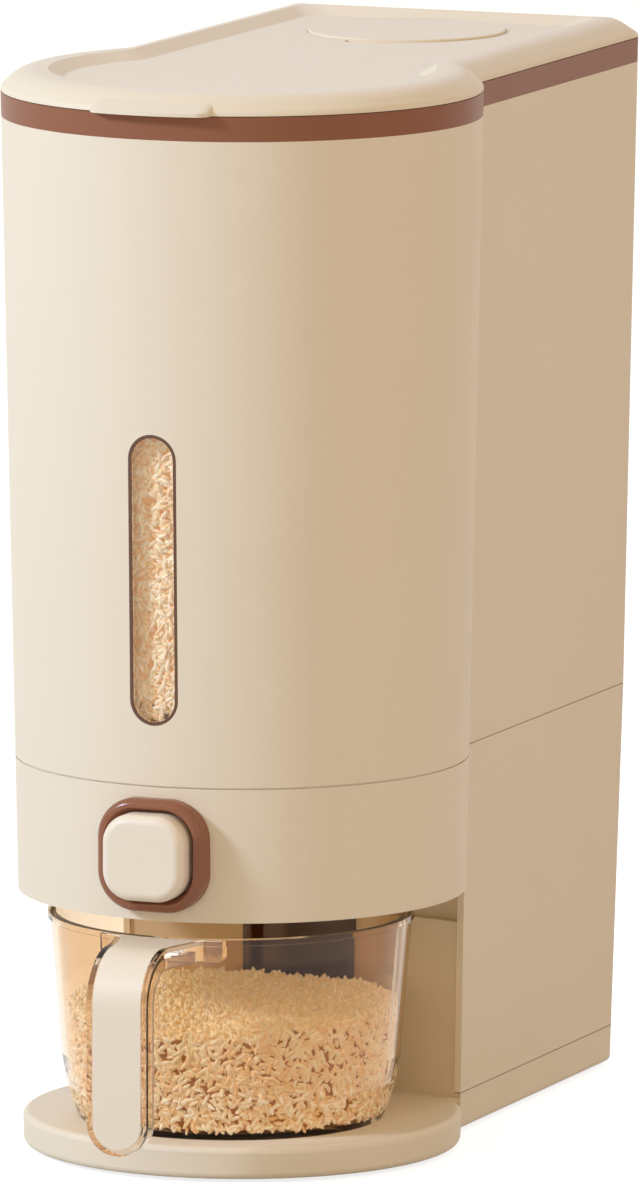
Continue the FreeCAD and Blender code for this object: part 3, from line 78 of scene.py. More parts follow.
# %% Place the camera
CAMERA_TURN = math.radians(22.49)        # to the right of straight ahead
CAMERA_RISE = math.radians(8.66)         # above the horizon
CAMERA_DISTANCE = 5.577
AIM_HEIGHT = 0.198
LENS_LENGTH, SENSOR_WIDTH = 452.8, 36.0  # millimetres
SHIFT_SIDEWAYS, SHIFT_UP = 0.0658, 0.0281
FAR_LIMIT = 50.0                         # nothing beyond this is drawn

aim = nose_axis + Vector((0, 0, AIM_HEIGHT))
away = Vector((
    math.sin(CAMERA_TURN) * math.cos(CAMERA_RISE),
    -math.cos(CAMERA_TURN) * math.cos(CAMERA_RISE),
    math.sin(CAMERA_RISE),
))
camera_data = bpy.data.cameras.new("camera")
camera_data.lens = LENS_LENGTH
camera_data.sensor_width = SENSOR_WIDTH
camera_data.shift_x = SHIFT_SIDEWAYS
camera_data.shift_y = SHIFT_UP
camera_data.clip_end = FAR_LIMIT
camera = bpy.data.objects.new("camera", camera_data)
camera.location = aim + away * CAMERA_DISTANCE
camera.rotation_mode = "QUATERNION"
camera.rotation_quaternion = (-away).to_track_quat("-Z", "Y")
bpy.context.scene.collection.objects.link(camera)
bpy.context.scene.camera = camera
print("camera at", tuple(camera.location))

# %% [markdown]
# ## Helpers for materials
#
# A material in Blender is a small network of nodes. These helpers keep the recipes below short:
# one starts a material with its Principled shader, one adds a node and sets its inputs, and one
# joins two sockets. Written out in full, each finish would need thirty lines instead of six.

# %% Helpers for nodes
def start_material(name, colour, roughness, **inputs):
    """A new material with a Principled shader; returns the material and its shader node."""
    material = bpy.data.materials.new(name)
    material.use_nodes = True
    shader = material.node_tree.nodes["Principled BSDF"]
    shader.inputs["Base Color"].default_value = (*colour, 1.0)
    shader.inputs["Roughness"].default_value = roughness
    for key, value in inputs.items():
        shader.inputs[key.replace("_", " ")].default_value = value
    return material, shader


def add(material, kind, **values):
    """Add a node; capitalised values set its inputs, the others its own settings."""
    node = material.node_tree.nodes.new(kind)
    for key, value in values.items():
        if key[0].isupper():
            node.inputs[key.replace("_", " ")].default_value = value
        else:
            setattr(node, key, value)
    return node


def join(material, source, target):
    """Lead one socket's value into another."""
    material.node_tree.links.new(source, target)


print("helpers for nodes ready")

# %% [markdown]
# ## Helpers for colours and patterns
#
# Real surfaces are never one flat colour, so every finish here is a colour with a faint pattern in
# it. The patterns could be painted images, but procedural noise needs no file and has no seams. It
# reads Object coordinates, which are metres here, so a noise scale of 1000 makes grains about a
# millimetre across. Colours are given as screen values and turned into Blender's linear ones.

# %% Helpers for colours and patterns
def srgb(red, green, blue):
    """A colour given as 0 to 255 screen values, turned into the linear values Blender wants."""
    def linear(value):
        value /= 255
        return value / 12.92 if value <= 0.04045 else ((value + 0.055) / 1.055) ** 2.4
    return linear(red), linear(green), linear(blue)


def noise(material, scale, detail=3.0):
    """A noise texture on Object coordinates; returns its Fac output."""
    node = add(material, "ShaderNodeTexNoise", Scale=scale, Detail=detail)
    place = add(material, "ShaderNodeTexCoord")
    join(material, place.outputs["Object"], node.inputs["Vector"])
    return node.outputs["Fac"]


def spread(material, fac, low, high):
    """Map a 0 to 1 value onto a range."""
    node = add(material, "ShaderNodeMapRange", To_Min=low, To_Max=high)
    join(material, fac, node.inputs["Value"])
    return node.outputs["Result"]


def bump(material, shader, height, strength, distance):
    """Raise the surface by a pattern, distance metres at its highest."""
    node = add(material, "ShaderNodeBump", Strength=strength, Distance=distance)
    join(material, height, node.inputs["Height"])
    join(material, node.outputs["Normal"], shader.inputs["Normal"])


def blend_colours(material, fac, first, second):
    """A colour that runs from first to second with fac."""
    node = add(material, "ShaderNodeMix", data_type="RGBA")
    colours = [socket for socket in node.inputs if socket.type == "RGBA"]
    colours[0].default_value, colours[1].default_value = (*first, 1.0), (*second, 1.0)
    join(material, fac, node.inputs["Factor"])
    return [socket for socket in node.outputs if socket.type == "RGBA"][0]


print("helpers for colours and patterns ready")

# %% [markdown]
# ## Moulded plastic
#
# The body is satin ABS. A mould for it is spark-eroded to a very fine grain, so the surface is not
# mirror smooth: it has a soft sheen and, close up, pits a third of a millimetre across. The recipe
# adds that grain as a faint bump, lets the roughness drift a little, as polishing and handling do,
# and lets the colour vary by a percent or two, as pigment does in thick and thin walls. The brown
# trim and the button use the same recipe with other numbers.

# %% Opaque plastics
CLOUD_SCALE, WEAR_SCALE, PIT_SCALE = 18.0, 60.0, 3200.0
WEAR_DRIFT = 0.05                        # how far the roughness strays either way
PIT_DEPTH = 0.00005


def moulded_plastic(name, colour, shade, roughness, grain, gloss=1.45):
    """Moulded plastic: colour and a slightly deeper shade of it, sheen, and depth of the grain."""
    material, shader = start_material(name, colour, roughness, IOR=gloss)
    cloud = noise(material, CLOUD_SCALE, 4.0)
    join(material, blend_colours(material, cloud, colour, shade), shader.inputs["Base Color"])
    wear = noise(material, WEAR_SCALE)
    join(material, spread(material, wear, roughness - WEAR_DRIFT, roughness + WEAR_DRIFT),
         shader.inputs["Roughness"])
    bump(material, shader, noise(material, PIT_SCALE, 2.0), strength=grain, distance=PIT_DEPTH)
    return material


CREAM = srgb(230, 215, 188)
CREAM_SHADE = srgb(228, 212, 184)
BROWN = (0.272, 0.104, 0.050)
BROWN_SHADE = (0.258, 0.097, 0.046)

cream_plastic = moulded_plastic(
    "cream_plastic", CREAM, CREAM_SHADE, roughness=0.55, grain=0.25, gloss=1.38)
button_plastic = moulded_plastic(
    "button_plastic", srgb(233, 219, 195), srgb(231, 216, 191), roughness=0.44, grain=0.12)
brown_plastic = moulded_plastic(
    "brown_plastic", BROWN, BROWN_SHADE, roughness=0.40, grain=0.12, gloss=1.3)
ring_plastic = moulded_plastic(
    "ring_plastic", BROWN, BROWN_SHADE, roughness=0.22, grain=0.05, gloss=1.33)
inner_plastic = moulded_plastic(
    "inner_plastic", srgb(226, 222, 212), srgb(220, 215, 204), roughness=0.5, grain=0.2)
print("opaque plastics made")

# %% [markdown]
# ## Tinted clear plastic
#
# The cup and the window are clear plastic with an amber tint, and the handle's frame is a paler
# one. Glass in a path tracer is costly to light, because lamps can't be found through it. So for
# shadow rays, which only ask whether a lamp can be seen, and for diffuse rays, the glass is swapped
# for a plain see-through shader with a trace of the tint. The rice behind it is then lit well,
# while the camera still sees real refraction and reflection. Fine scratches vary the roughness.

# %% Clear plastics
SCRATCH_SCALE, SCRATCH_DEPTH = 35.0, 0.02
TINT_TRACE = 0.12                        # power of the tint that is left in the light let through


def clear_plastic(name, tint, roughness, bend=1.3):
    """Clear plastic that takes on the tint at each face that the view passes."""
    material, shader = start_material(
        name, tint, roughness, IOR=bend, Transmission_Weight=1.0)
    scratches = noise(material, SCRATCH_SCALE, 5.0)
    join(material, spread(material, scratches, roughness, roughness + SCRATCH_DEPTH),
         shader.inputs["Roughness"])
    see_through = add(material, "ShaderNodeBsdfTransparent",
                      Color=(*(value ** TINT_TRACE for value in tint), 1.0))
    path = add(material, "ShaderNodeLightPath")
    either = add(material, "ShaderNodeMath", operation="MAXIMUM")
    join(material, path.outputs["Is Shadow Ray"], either.inputs[0])
    join(material, path.outputs["Is Diffuse Ray"], either.inputs[1])
    mix = add(material, "ShaderNodeMixShader")
    join(material, either.outputs[0], mix.inputs["Fac"])
    join(material, shader.outputs["BSDF"], mix.inputs[1])
    join(material, see_through.outputs["BSDF"], mix.inputs[2])
    join(material, mix.outputs["Shader"],
         material.node_tree.nodes["Material Output"].inputs["Surface"])
    return material


amber_clear = clear_plastic("amber_clear", (0.84, 0.66, 0.455), roughness=0.012)
handle_clear = clear_plastic("handle_clear", (0.89, 0.78, 0.65), roughness=0.012, bend=1.45)
window_clear = clear_plastic("window_clear", (0.92, 0.80, 0.67), roughness=0.015)
print("clear plastics made")

# %% [markdown]
# ## Rubber and steel
#
# Feet and seals are matt elastomer, rough enough that hardly any gloss is left. The hinge pin,
# screws and spring are zinc-plated steel: a metal with a slightly cloudy sheen, made by a fine
# noise in its roughness.

# %% Rubber and steel
dark_rubber, rubber_shader = start_material("dark_rubber", srgb(96, 62, 40), 0.7, IOR=1.5)
join(dark_rubber, spread(dark_rubber, noise(dark_rubber, 400.0), 0.6, 0.8),
     rubber_shader.inputs["Roughness"])
bump(dark_rubber, rubber_shader, noise(dark_rubber, 2500.0, 2.0), strength=0.3, distance=0.00004)

steel, steel_shader = start_material("zinc_steel", (0.62, 0.62, 0.64), 0.3, Metallic=1.0)
join(steel, spread(steel, noise(steel, 900.0), 0.22, 0.4), steel_shader.inputs["Roughness"])
bump(steel, steel_shader, noise(steel, 1500.0), strength=0.15, distance=0.00003)
print("rubber and steel made")

# %% [markdown]
# ## Giving the CAD nodes their finishes
#
# Each CAD node keeps its mesh, and only its material slot is filled anew. One table from finish to
# nodes shows the whole colour scheme at a glance, and any node that it forgets is printed.

# %% Assign the finishes
FINISHES = {
    cream_plastic: ["base_tray", "lower_housing", "mechanism_floor", "tank_shell", "lid",
                    "desiccant_cover"],
    button_plastic: ["button_cap", "handle_insert"],
    brown_plastic: ["trim_band"],
    ring_plastic: ["button_bezel"],
    inner_plastic: ["hopper", "outlet_spout", "shutter_guide", "shutter_plate", "button_stem",
                    "desiccant_box"],
    amber_clear: ["cup_body"],
    handle_clear: ["handle_frame"],
    window_clear: ["window_lens"],
    dark_rubber: ["window_gasket", "lid_gasket"] + [f"foot_{n}" for n in range(1, 7)],
    steel: ["return_spring", "base_screws", "floor_screws", "hinge_pin"],
}
for material, names in FINISHES.items():
    for name in names:
        mesh = nodes[name].data
        mesh.materials.clear()
        mesh.materials.append(material)
left_over = set(nodes) - {name for names in FINISHES.values() for name in names}
print("nodes dressed:", len(nodes) - len(left_over), "left over:", sorted(left_over))

# %% [markdown]
# ## Painted shade on the alcove's back wall
#
# A thin dark-brown sheet is painted shade: it darkens the middle of the alcove's rear wall, where
# shade falls, and shows above and through the cup. The wall is slightly hollow. A flat box would
# cut into it at the sides, so the sheet is a grid bent to the wall's own arc, then given a
# thickness.

# %% Painted shade sheet on the back wall
SHADE_SHEET_WIDTH, SHADE_SHEET_FOOT, SHADE_SHEET_TOP = 0.047, 0.0165, 0.1010
SHADE_SHEET_THICKNESS = 0.0005
WALL_FRONT, WALL_ARC = 0.0041, 0.244     # y of the rear wall at its middle, and its radius


def keep(name, mesh, material, body):
    """Put a finished mesh in the scene, with its material, on a body that moves it."""
    mesh.materials.clear()
    mesh.materials.append(material)
    piece = bpy.data.objects.new(name, mesh)
    bpy.context.scene.collection.objects.link(piece)
    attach(piece, body)
    print(name, len(mesh.polygons), "faces, rides on", body)


def mesh_of(name, shape):
    """Turn a bmesh into a mesh and let the bmesh go."""
    bmesh.ops.recalc_face_normals(shape, faces=shape.faces)
    mesh = bpy.data.meshes.new(name)
    shape.to_mesh(mesh)
    shape.free()
    return mesh


# painted shade: a dark-brown sheet where the rear wall only lies in shade
painted_shade_brown = moulded_plastic(
    "painted_shade_brown", srgb(66, 30, 12), srgb(58, 26, 10), roughness=0.7, grain=0.12, gloss=1.15)
shade_sheet = bmesh.new()
bmesh.ops.create_grid(
    shade_sheet, x_segments=12, y_segments=2, size=0.5,
    matrix=Matrix.Translation((0, 0, (SHADE_SHEET_FOOT + SHADE_SHEET_TOP) / 2))
    @ Matrix.Diagonal((SHADE_SHEET_WIDTH, 1, SHADE_SHEET_TOP - SHADE_SHEET_FOOT, 1))
    @ Matrix.Rotation(math.pi / 2, 4, "X"))
for vertex in shade_sheet.verts:
    vertex.co.y = WALL_FRONT - vertex.co.x ** 2 / (2 * WALL_ARC)
bmesh.ops.solidify(shade_sheet, geom=shade_sheet.faces[:], thickness=SHADE_SHEET_THICKNESS)
shade_sheet_mesh = mesh_of("alcove_painted_shade", shade_sheet)
shade_sheet_mesh.shade_smooth()
keep("alcove_painted_shade", shade_sheet_mesh, painted_shade_brown, "housing")

# %% [markdown]
# ## The joint line of the base
#
# The base and the housing meet in a fine shaded line. It could be drawn in a texture, but a cut
# through the housing's own mesh gives its exact outline, so that outline is drawn up into a narrow
# ribbon and swollen by a hair to lie just outside the wall. The cut is made on a copy, whose loose
# triangles are merged first.

# %% Base seam line
SEAM_LEVEL, SEAM_HEIGHT = 0.0157, 0.00022
SEAM_SWELL = 1.0004

seam_shade = moulded_plastic(
    "seam_shade", srgb(142, 114, 86), srgb(134, 106, 80), roughness=0.8, grain=0.1, gloss=1.2)
seam = bmesh.new()
seam.from_mesh(nodes["lower_housing"].data)
bmesh.ops.remove_doubles(seam, verts=seam.verts, dist=1e-6)
bmesh.ops.bisect_plane(
    seam, geom=seam.verts[:] + seam.edges[:] + seam.faces[:],
    plane_co=(0, 0, SEAM_LEVEL), plane_no=(0, 0, 1), clear_inner=True, clear_outer=True)
raised = bmesh.ops.extrude_edge_only(seam, edges=seam.edges[:])["geom"]
bmesh.ops.translate(seam, vec=(0, 0, SEAM_HEIGHT),
                    verts=[part for part in raised if isinstance(part, bmesh.types.BMVert)])
bmesh.ops.scale(seam, vec=(SEAM_SWELL, SEAM_SWELL, 1), verts=seam.verts)
seam_mesh = mesh_of("base_seam_line", seam)
seam_mesh.shade_smooth()
keep("base_seam_line", seam_mesh, seam_shade, "housing")

# %% [markdown]
# ## What rice looks like
#
# Rice is slightly clear: light enters a grain, wanders through its neighbours and comes out again,
# so a heap seems lit from within. Following all that light would take a very long render. A little
# subsurface light and a faint glow in the grain's own colour come close; the glow is painted light,
# which also brightens grains that lie in the nose's shade. Every grain has its own tone, which is
# stored on the mesh and read by the material. Three versions are made: for grains, a lighter copy
# with more glow, as painted light, for those that lie open on top, and a darker copy without glow,
# as painted shade, for the bed that shows between them.

# %% Rice materials
def rice_material(name, low_tone, high_tone, painted_glow):
    """Grains between two tones; the glow is painted light that stands in for the light rice passes
    on inside.
    """
    material, shader = start_material(
        name, low_tone, 0.42, IOR=1.4, Subsurface_Weight=0.2, Subsurface_Scale=0.0012,
        Emission_Strength=painted_glow)
    tone = add(material, "ShaderNodeAttribute", attribute_name="tone")
    colour = blend_colours(material, tone.outputs["Fac"], low_tone, high_tone)
    join(material, colour, shader.inputs["Base Color"])
    join(material, colour, shader.inputs["Emission Color"])
    bump(material, shader, noise(material, 1800.0, 2.0), strength=0.2, distance=0.0001)
    return material


# the glow of each version is painted light
rice = rice_material("rice", srgb(244, 212, 168), srgb(255, 248, 230), painted_glow=0.12)
# painted light: a lighter copy with more glow, for grains open on top
rice_top_painted_light = rice_material("rice_top_painted_light", srgb(246, 222, 176), srgb(252, 242, 218), painted_glow=0.14)
# painted shade: a darker copy without glow, for the bed between grains
rice_shaded = rice_material("rice_shaded", srgb(188, 132, 82), srgb(206, 154, 102), painted_glow=0.0)
print("rice materials made")

# %% [markdown]
# ## One grain
#
# A grain is a short round-ended stick, 5 mm long and just under 2 mm thick. It has only a few dozen
# faces, because it is repeated so often: a coarse sphere, stretched, with smooth shading.

# %% One grain
GRAIN_LENGTH = 0.0050
GRAIN_THICKNESS = 0.0018


def grain_blank():
    """One grain lying along X: a round-ended stick of 30 triangles."""
    blank = bmesh.new()
    bmesh.ops.create_uvsphere(blank, u_segments=5, v_segments=4, radius=0.5)
    shape = Matrix(((0, 0, GRAIN_LENGTH, 0), (GRAIN_THICKNESS, 0, 0, 0),
                    (0, GRAIN_THICKNESS, 0, 0), (0, 0, 0, 1)))
    bmesh.ops.transform(blank, matrix=shape, verts=blank.verts)
    return mesh_of("grain_blank", blank)


print("a grain is", GRAIN_LENGTH, "by", GRAIN_THICKNESS, "metres")

# %% [markdown]
# ## Thousands of grains
#
# Grains could be added one at a time, but that takes minutes. Two steps take a second. An Array
# modifier repeats the blank grain as often as it is needed, all copies in one place. Then each
# copy's vertices are moved by a matrix of its own, which holds its place, turn, lean and size.

# %% Scatter helpers
SHORTEST, LONGEST = 0.75, 1.12           # shares of the blank's length
SLIMMEST, STOUTEST = 0.85, 1.1           # shares of its width


def repeated(blank, count):
    """A mesh that holds the blank count times."""
    carrier = bpy.data.objects.new("carrier", blank)
    bpy.context.scene.collection.objects.link(carrier)
    row = carrier.modifiers.new("row", "ARRAY")
    row.count = count
    row.use_relative_offset = False
    bpy.context.view_layer.update()
    seen = carrier.evaluated_get(bpy.context.evaluated_depsgraph_get())
    mesh = bpy.data.meshes.new_from_object(seen)
    bpy.data.objects.remove(carrier)
    return mesh


def set_tones(mesh, tones):
    """Store a tone for each vertex, for the rice material to read."""
    mesh.attributes.new("tone", "FLOAT", "POINT").data.foreach_set("value", tones)


def pour(name, spots, body, seed, lean, material):
    """Lay a grain at each (place, normal) spot, flat against the normal, at a random turn."""
    draw = random.Random(seed)
    blank = grain_blank()
    mesh = repeated(blank, len(spots))
    mesh.name = name
    corners = np.ones((len(blank.vertices), 4))
    corners[:, :3] = [vertex.co for vertex in blank.vertices]
    moved, tones = [], []
    for place, normal in spots:
        tilt = normal.to_track_quat("Z", "X").to_matrix().to_4x4()
        turn = Matrix.Rotation(draw.uniform(0, math.tau), 4, "Z")
        rock = Matrix.Rotation(draw.gauss(0, lean), 4, "Y")
        size = Matrix.Diagonal((draw.uniform(SHORTEST, LONGEST),
                                draw.uniform(SLIMMEST, STOUTEST), 1, 1))
        matrix = np.array(Matrix.Translation(place) @ tilt @ turn @ rock @ size)
        moved.append((corners @ matrix.T)[:, :3])
        tones += [draw.random()] * len(corners)
    mesh.vertices.foreach_set("co", np.concatenate(moved).ravel())
    set_tones(mesh, tones)
    mesh.shade_smooth()
    mesh.update()
    bpy.data.meshes.remove(blank)
    keep(name, mesh, material, body)
    print(name, len(spots), "grains")


def lay_bed(name, shape, body, material):
    """Turn a bmesh into a bed of one even tone that lies under the grains."""
    mesh = mesh_of(name, shape)
    set_tones(mesh, [0.0] * len(mesh.vertices))
    keep(name, mesh, material, body)


print("scatter helpers ready")

# %% [markdown]
# ## The bed in the cup
#
# The cup is a little over half full. Filling it with grains all through would waste a hundred
# thousand that nobody sees, so a turned bed with the cup's inner profile fills the middle. Its top
# follows the heap, which dips a little in front and creeps up at the sides.

# %% The bed in the cup
CUP_FLOOR = cup_low[2] + 0.0026
RICE_LEVEL = 0.0545
KNEE_LEVEL = cup_low[2] + 0.024
FOOT_RADIUS = cup_rim_radius - 0.0137
KNEE_RADIUS = cup_rim_radius - 0.0073
INNER_RIM_RADIUS = cup_rim_radius - 0.0031
GRAIN_ROOM = GRAIN_THICKNESS * 0.62      # how far a lying grain's middle stays off a wall
HEAP_SLOPE = 0.025                       # rise for each metre towards the back
HEAP_HALF_WIDTH, HEAP_EDGE_RISE = 0.064, 0.0018
WAVE_HEIGHT = 0.0008
BED_RINGS = 6
SPIN_STEPS = 64


def cup_inner_radius(level):
    """Radius of the inner wall at a level: it swells from the foot to the knee, then opens."""
    if level < KNEE_LEVEL:
        share = (level - cup_low[2]) / (KNEE_LEVEL - cup_low[2])
        return FOOT_RADIUS + (KNEE_RADIUS - FOOT_RADIUS) * math.sin(share * math.pi / 2)
    share = (level - KNEE_LEVEL) / (cup_high[2] - KNEE_LEVEL)
    return KNEE_RADIUS + (INNER_RIM_RADIUS - KNEE_RADIUS) * share


def rice_top(x, y):
    """Height of the heap: a little lower in front, higher at the sides, with slow waves."""
    wave = math.sin(x * 95 + 1.0) * math.cos(y * 70) * WAVE_HEIGHT
    return RICE_LEVEL + wave + y * HEAP_SLOPE + (x / HEAP_HALF_WIDTH) ** 2 * HEAP_EDGE_RISE


bed_floor, bed_top = CUP_FLOOR + GRAIN_ROOM, RICE_LEVEL - GRAIN_ROOM
profile = [(0.0, bed_floor)]
for ring in range(BED_RINGS + 1):
    level = bed_floor + (bed_top - bed_floor) * ring / BED_RINGS
    profile.append((cup_inner_radius(level) - GRAIN_THICKNESS, level))
profile += [(radius, bed_top) for radius in (0.04, 0.02, 0.0)]

bed = bmesh.new()
line = [bed.verts.new((radius, 0, level)) for radius, level in profile]
edges = [bed.edges.new(pair) for pair in zip(line, line[1:])]
bmesh.ops.spin(bed, geom=line + edges, cent=(0, 0, 0), axis=(0, 0, 1), angle=math.tau,
               steps=SPIN_STEPS, use_merge=True)
bmesh.ops.remove_doubles(bed, verts=bed.verts, dist=1e-6)
for vertex in bed.verts:
    if vertex.co.z > RICE_LEVEL - 1.5 * GRAIN_ROOM:
        vertex.co.z += rice_top(vertex.co.x, vertex.co.y) - RICE_LEVEL
bmesh.ops.transform(bed, verts=bed.verts, matrix=Matrix.Translation(cup_axis))
# painted shade: the bed is a darker copy of the rice, seen between the grains
lay_bed("rice_bed", bed, "cup", rice_shaded)

# %% [markdown]
# ## The grains in the cup
#
# Two layers of grains hide the bed. The grains against the wall lie flat on it, as pressed rice
# does, and show their long sides through the tinted plastic. Those on top stick up at all angles,
# so many are seen end-on, and the heap's surface looks finer than its side.

# %% The grains in the cup
WALL_TRIES, TOP_GRAINS = 7000, 5600
TOP_HALF_WIDTH = 0.066
EDGE_ROOM = GRAIN_THICKNESS * 1.5

draw = random.Random(11)
wall_spots = []
for _ in range(WALL_TRIES):
    turn = draw.uniform(0, math.tau)
    level = draw.uniform(CUP_FLOOR + GRAIN_ROOM, RICE_LEVEL + 0.004)
    radius = cup_inner_radius(level) - draw.uniform(1.0, 2.2) * GRAIN_ROOM
    out = Vector((math.cos(turn), math.sin(turn), 0))
    place = out * radius
    if level > rice_top(place.x, place.y):
        continue
    wall_spots.append((cup_axis + place + Vector((0, 0, level)), out))
pour("rice_at_wall", wall_spots, "cup", seed=3, lean=0.12, material=rice)

top_spots = []
while len(top_spots) < TOP_GRAINS:
    x = draw.uniform(-TOP_HALF_WIDTH, TOP_HALF_WIDTH)
    y = draw.uniform(-TOP_HALF_WIDTH, TOP_HALF_WIDTH)
    if math.hypot(x, y) > cup_inner_radius(RICE_LEVEL) - EDGE_ROOM:
        continue
    z = rice_top(x, y) + draw.uniform(-0.7, 0.6) * GRAIN_THICKNESS
    top_spots.append((cup_axis + Vector((x, y, z)), Vector((0, 0, 1))))
# painted light: the top grains get the lighter, more glowing copy of the rice
pour("rice_on_top", top_spots, "cup", seed=4, lean=0.9, material=rice_top_painted_light)

# %% [markdown]
# ## The bed in the tank
#
# The tank is filled a little above the window. Its bed is two plain solids with the keyhole plan: a
# slightly tapered cylinder in the nose and a box in the block. Only the nose's part reaches down
# behind the window, and the box stops above the hopper's slopes.

# %% The bed in the tank
WINDOW_DEPTH = 0.0802                    # of the lens's inner face, from the nose axis
TANK_RICE_LEVEL = lens_high[2] + 0.018
NOSE_BED_FLOOR = lens_low[2] + 0.010
BLOCK_BED_FLOOR = 0.264
BLOCK_BED_WIDTH = 0.137
BACK_ROOM = 0.0055
TOP_STEP = 0.0002                        # keeps the two tops from lying in one plane

block_back = tank_high[1] - BACK_ROOM
nose_middle = Vector((0, 0, (TANK_RICE_LEVEL + NOSE_BED_FLOOR) / 2))
block_middle = (0, (block_back + nose_axis.y) / 2, (TANK_RICE_LEVEL + BLOCK_BED_FLOOR) / 2)
block_size = (BLOCK_BED_WIDTH, block_back - nose_axis.y,
              TANK_RICE_LEVEL - BLOCK_BED_FLOOR - TOP_STEP, 1)

tank_bed = bmesh.new()
bmesh.ops.create_cone(
    tank_bed, cap_ends=True, segments=SPIN_STEPS, radius1=WINDOW_DEPTH - 0.0028,
    radius2=WINDOW_DEPTH - 0.0008, depth=TANK_RICE_LEVEL - NOSE_BED_FLOOR,
    matrix=Matrix.Translation(nose_axis + nose_middle))
bmesh.ops.create_cube(
    tank_bed, size=1.0, matrix=Matrix.Translation(block_middle) @ Matrix.Diagonal(block_size))
lay_bed("tank_bed", tank_bed, "housing", rice)

# %% [markdown]
# ## The grains in the tank
#
# The window shows grains that are pressed flat against it, so they are laid only there, on the
# taper of the nose. With the lid open the top of the rice is seen, so one more layer covers it.

# %% The grains in the tank
WINDOW_GRAINS, SURFACE_GRAINS = 1500, 5200
WINDOW_HALF_WIDTH, WINDOW_MARGIN = 0.0135, 0.002
NOSE_TAPER = 0.0197                      # the nose's growth for each metre of height
NOSE_HALF_WIDTH, BLOCK_HALF_WIDTH = 0.083, 0.0695

window_spots = []
for _ in range(WINDOW_GRAINS):
    side = draw.uniform(-WINDOW_HALF_WIDTH, WINDOW_HALF_WIDTH)
    level = draw.uniform(lens_low[2] - WINDOW_MARGIN, lens_high[2] + WINDOW_MARGIN)
    taper = NOSE_TAPER * (level - tank_low[2])
    radius = WINDOW_DEPTH + taper - draw.uniform(0.9, 2.3) * GRAIN_ROOM
    turn = math.asin(side / radius)
    out = Vector((math.sin(turn), -math.cos(turn), 0))
    window_spots.append((nose_axis + out * radius + Vector((0, 0, level)), out))
pour("rice_at_window", window_spots, "housing", seed=5, lean=0.15, material=rice)

surface_spots = []
while len(surface_spots) < SURFACE_GRAINS:
    x = draw.uniform(-NOSE_HALF_WIDTH, NOSE_HALF_WIDTH)
    y = draw.uniform(tank_low[1], block_back)
    in_nose = math.hypot(x, y - nose_axis.y) < WINDOW_DEPTH
    in_block = abs(x) < BLOCK_HALF_WIDTH and y > nose_axis.y
    if not (in_nose or in_block):
        continue
    z = TANK_RICE_LEVEL + draw.uniform(0.1, 0.9) * GRAIN_THICKNESS
    surface_spots.append((Vector((x, y, z)), Vector((0, 0, 1))))
pour("rice_in_tank", surface_spots, "housing", seed=6, lean=0.3, material=rice)

# %% [markdown]
# ## Looking rays
#
# Products are often shown on pure white. A strong white light all round would wash out the pale
# plastic, so both the floor and the world are made whiter only for rays that look at things: those
# that come from the camera, off a mirror-like surface or through glass. Such rays show the white
# but carry no light onto the object, so its colours stay true.

# %% Looking rays
def looking_ray(tree):
    """1 for rays that look at things: from the camera, off gloss or through glass; else 0."""
    path = tree.nodes.new("ShaderNodeLightPath")
    total = path.outputs["Is Camera Ray"]
    for name in ("Is Glossy Ray", "Is Transmission Ray"):
        either = tree.nodes.new("ShaderNodeMath")
        either.operation = "MAXIMUM"
        tree.links.new(total, either.inputs[0])
        tree.links.new(path.outputs[name], either.inputs[1])
        total = either.outputs[0]
    return total


print("looking rays ready")

# %% [markdown]
# ## The floor
#
# The floor keeps its own diffuse shading and only gets a share of white on top, so that the soft
# shadow under the bin still shows. It is a single large face, far wider than any view.

# %% Floor
FLOOR_GREY = 0.5
FLOOR_LIFT = 0.80
FLOOR_SIZE = 9.0


def floor_material():
    """Matt grey plus a share of white that only looking rays see."""
    material, shader = start_material(
        "stage_white", (FLOOR_GREY, FLOOR_GREY, FLOOR_GREY), 0.9, Specular_IOR_Level=0.0)
    lift = add(material, "ShaderNodeEmission", Color=(1, 1, 1, 1))
    tree = material.node_tree
    strength = add(material, "ShaderNodeMath", operation="MULTIPLY")
    join(material, looking_ray(tree), strength.inputs[0])
    strength.inputs[1].default_value = FLOOR_LIFT
    join(material, strength.outputs[0], lift.inputs["Strength"])
    both = add(material, "ShaderNodeAddShader")
    join(material, shader.outputs["BSDF"], both.inputs[0])
    join(material, lift.outputs["Emission"], both.inputs[1])
    join(material, both.outputs[0], tree.nodes["Material Output"].inputs["Surface"])
    return material


floor_shape = bmesh.new()
bmesh.ops.create_grid(floor_shape, x_segments=1, y_segments=1, size=FLOOR_SIZE)
floor_mesh = bpy.data.meshes.new("floor")
floor_shape.to_mesh(floor_mesh)
floor_shape.free()
floor_mesh.materials.append(floor_material())
floor = bpy.data.objects.new("floor", floor_mesh)
bpy.context.scene.collection.objects.link(floor)
print("floor laid")

# %% [markdown]
# ## The world
#
# The world is two backgrounds in one: pure white for looking rays, and a warm dim light for the
# rest, which is what the lamps' shadows are filled with.

# %% World
AMBIENT = (0.545, 0.494, 0.336)

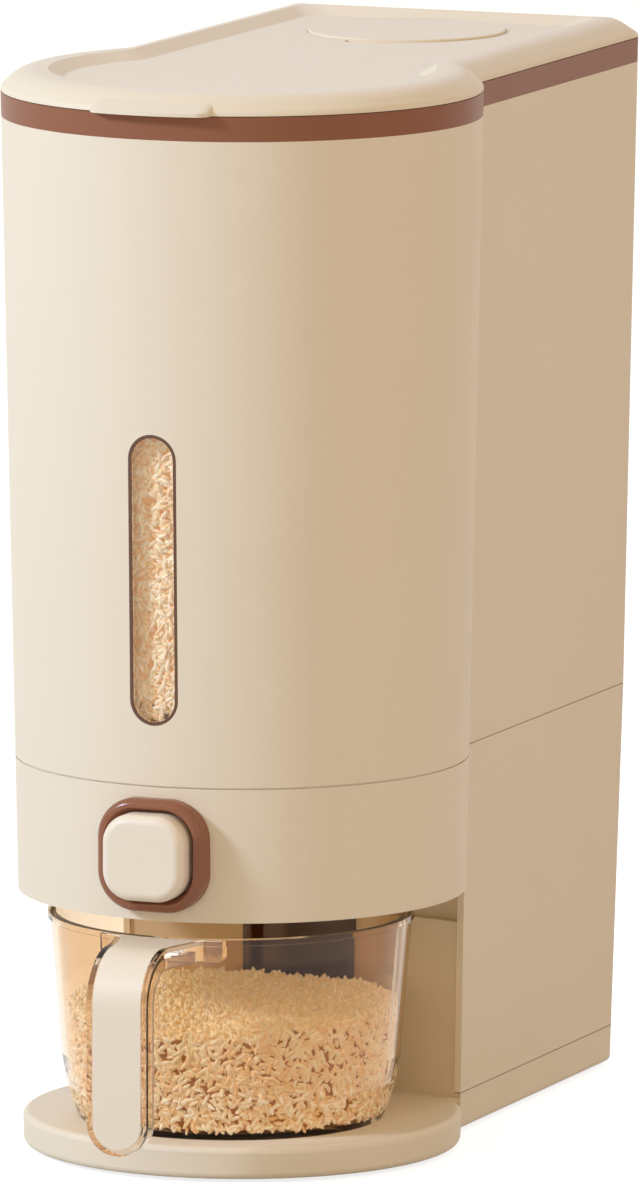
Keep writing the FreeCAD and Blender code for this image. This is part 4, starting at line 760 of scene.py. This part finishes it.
world = bpy.data.worlds.new("studio")
bpy.context.scene.world = world
world.use_nodes = True
tree = world.node_tree
backdrop = tree.nodes["Background"]
backdrop.inputs["Color"].default_value = (1.0, 1.0, 1.0, 1.0)
backdrop.inputs["Strength"].default_value = 1.0
surround = tree.nodes.new("ShaderNodeBackground")
surround.inputs["Color"].default_value = (*AMBIENT, 1.0)
choice = tree.nodes.new("ShaderNodeMixShader")
tree.links.new(looking_ray(tree), choice.inputs["Fac"])
tree.links.new(surround.outputs[0], choice.inputs[1])
tree.links.new(backdrop.outputs[0], choice.inputs[2])
tree.links.new(choice.outputs[0], tree.nodes["World Output"].inputs["Surface"])
print("world set")

# %% [markdown]
# ## Lamps
#
# A compact key lamp stands on the left, a little above the bin, so the round nose turns from light
# to shade across its middle and the button ring throws a soft shadow. It is slightly cool and the
# room's own light is warm, which gives cream plastic its golden shade side. A large panel on the
# right fills the side and draws a soft reflection on the cup. A lamp behind lightens the lid, and a
# low one in front reaches under the nose, to the rice in the cup. Each lamp is placed by its angle
# from the camera, since that is how a studio would set it.

# %% Lamps
def from_camera(turn, rise):
    """Direction towards a lamp, turned right of the camera and raised, in degrees."""
    azimuth, height = CAMERA_TURN + math.radians(turn), math.radians(rise)
    return Vector((math.sin(azimuth) * math.cos(height), -math.cos(azimuth) * math.cos(height),
                   math.sin(height)))


def soft_lamp(name, direction, distance, size, watts):
    """A square lamp that faces the bin, with its red, green and blue watts."""
    lamp_data = bpy.data.lights.new(name, "AREA")
    lamp_data.shape = "SQUARE"
    lamp_data.size = size
    lamp_data.energy = max(watts)
    lamp_data.color = [share / max(watts) for share in watts]
    lamp = bpy.data.objects.new(name, lamp_data)
    lamp.location = aim + direction * distance
    lamp.rotation_mode = "QUATERNION"
    lamp.rotation_quaternion = (-direction).to_track_quat("-Z", "Y")
    bpy.context.scene.collection.objects.link(lamp)
    print(name, "at", tuple(round(value, 2) for value in lamp.location))


soft_lamp("key", from_camera(-68, 29), distance=2.6, size=0.4, watts=(35.0, 42.3, 60.0))
soft_lamp("side_panel", from_camera(60, 20), distance=2.6, size=1.8, watts=(14.5, 10.1, 11.2))
soft_lamp("back_light", from_camera(170, 45), distance=2.6, size=1.6, watts=(5.7, 7.1, 15.1))
soft_lamp("low_front", from_camera(-20, 4), distance=2.8, size=1.6, watts=(10.3, 8.1, 6.5))
bpy.context.scene.view_settings.view_transform = "Standard"
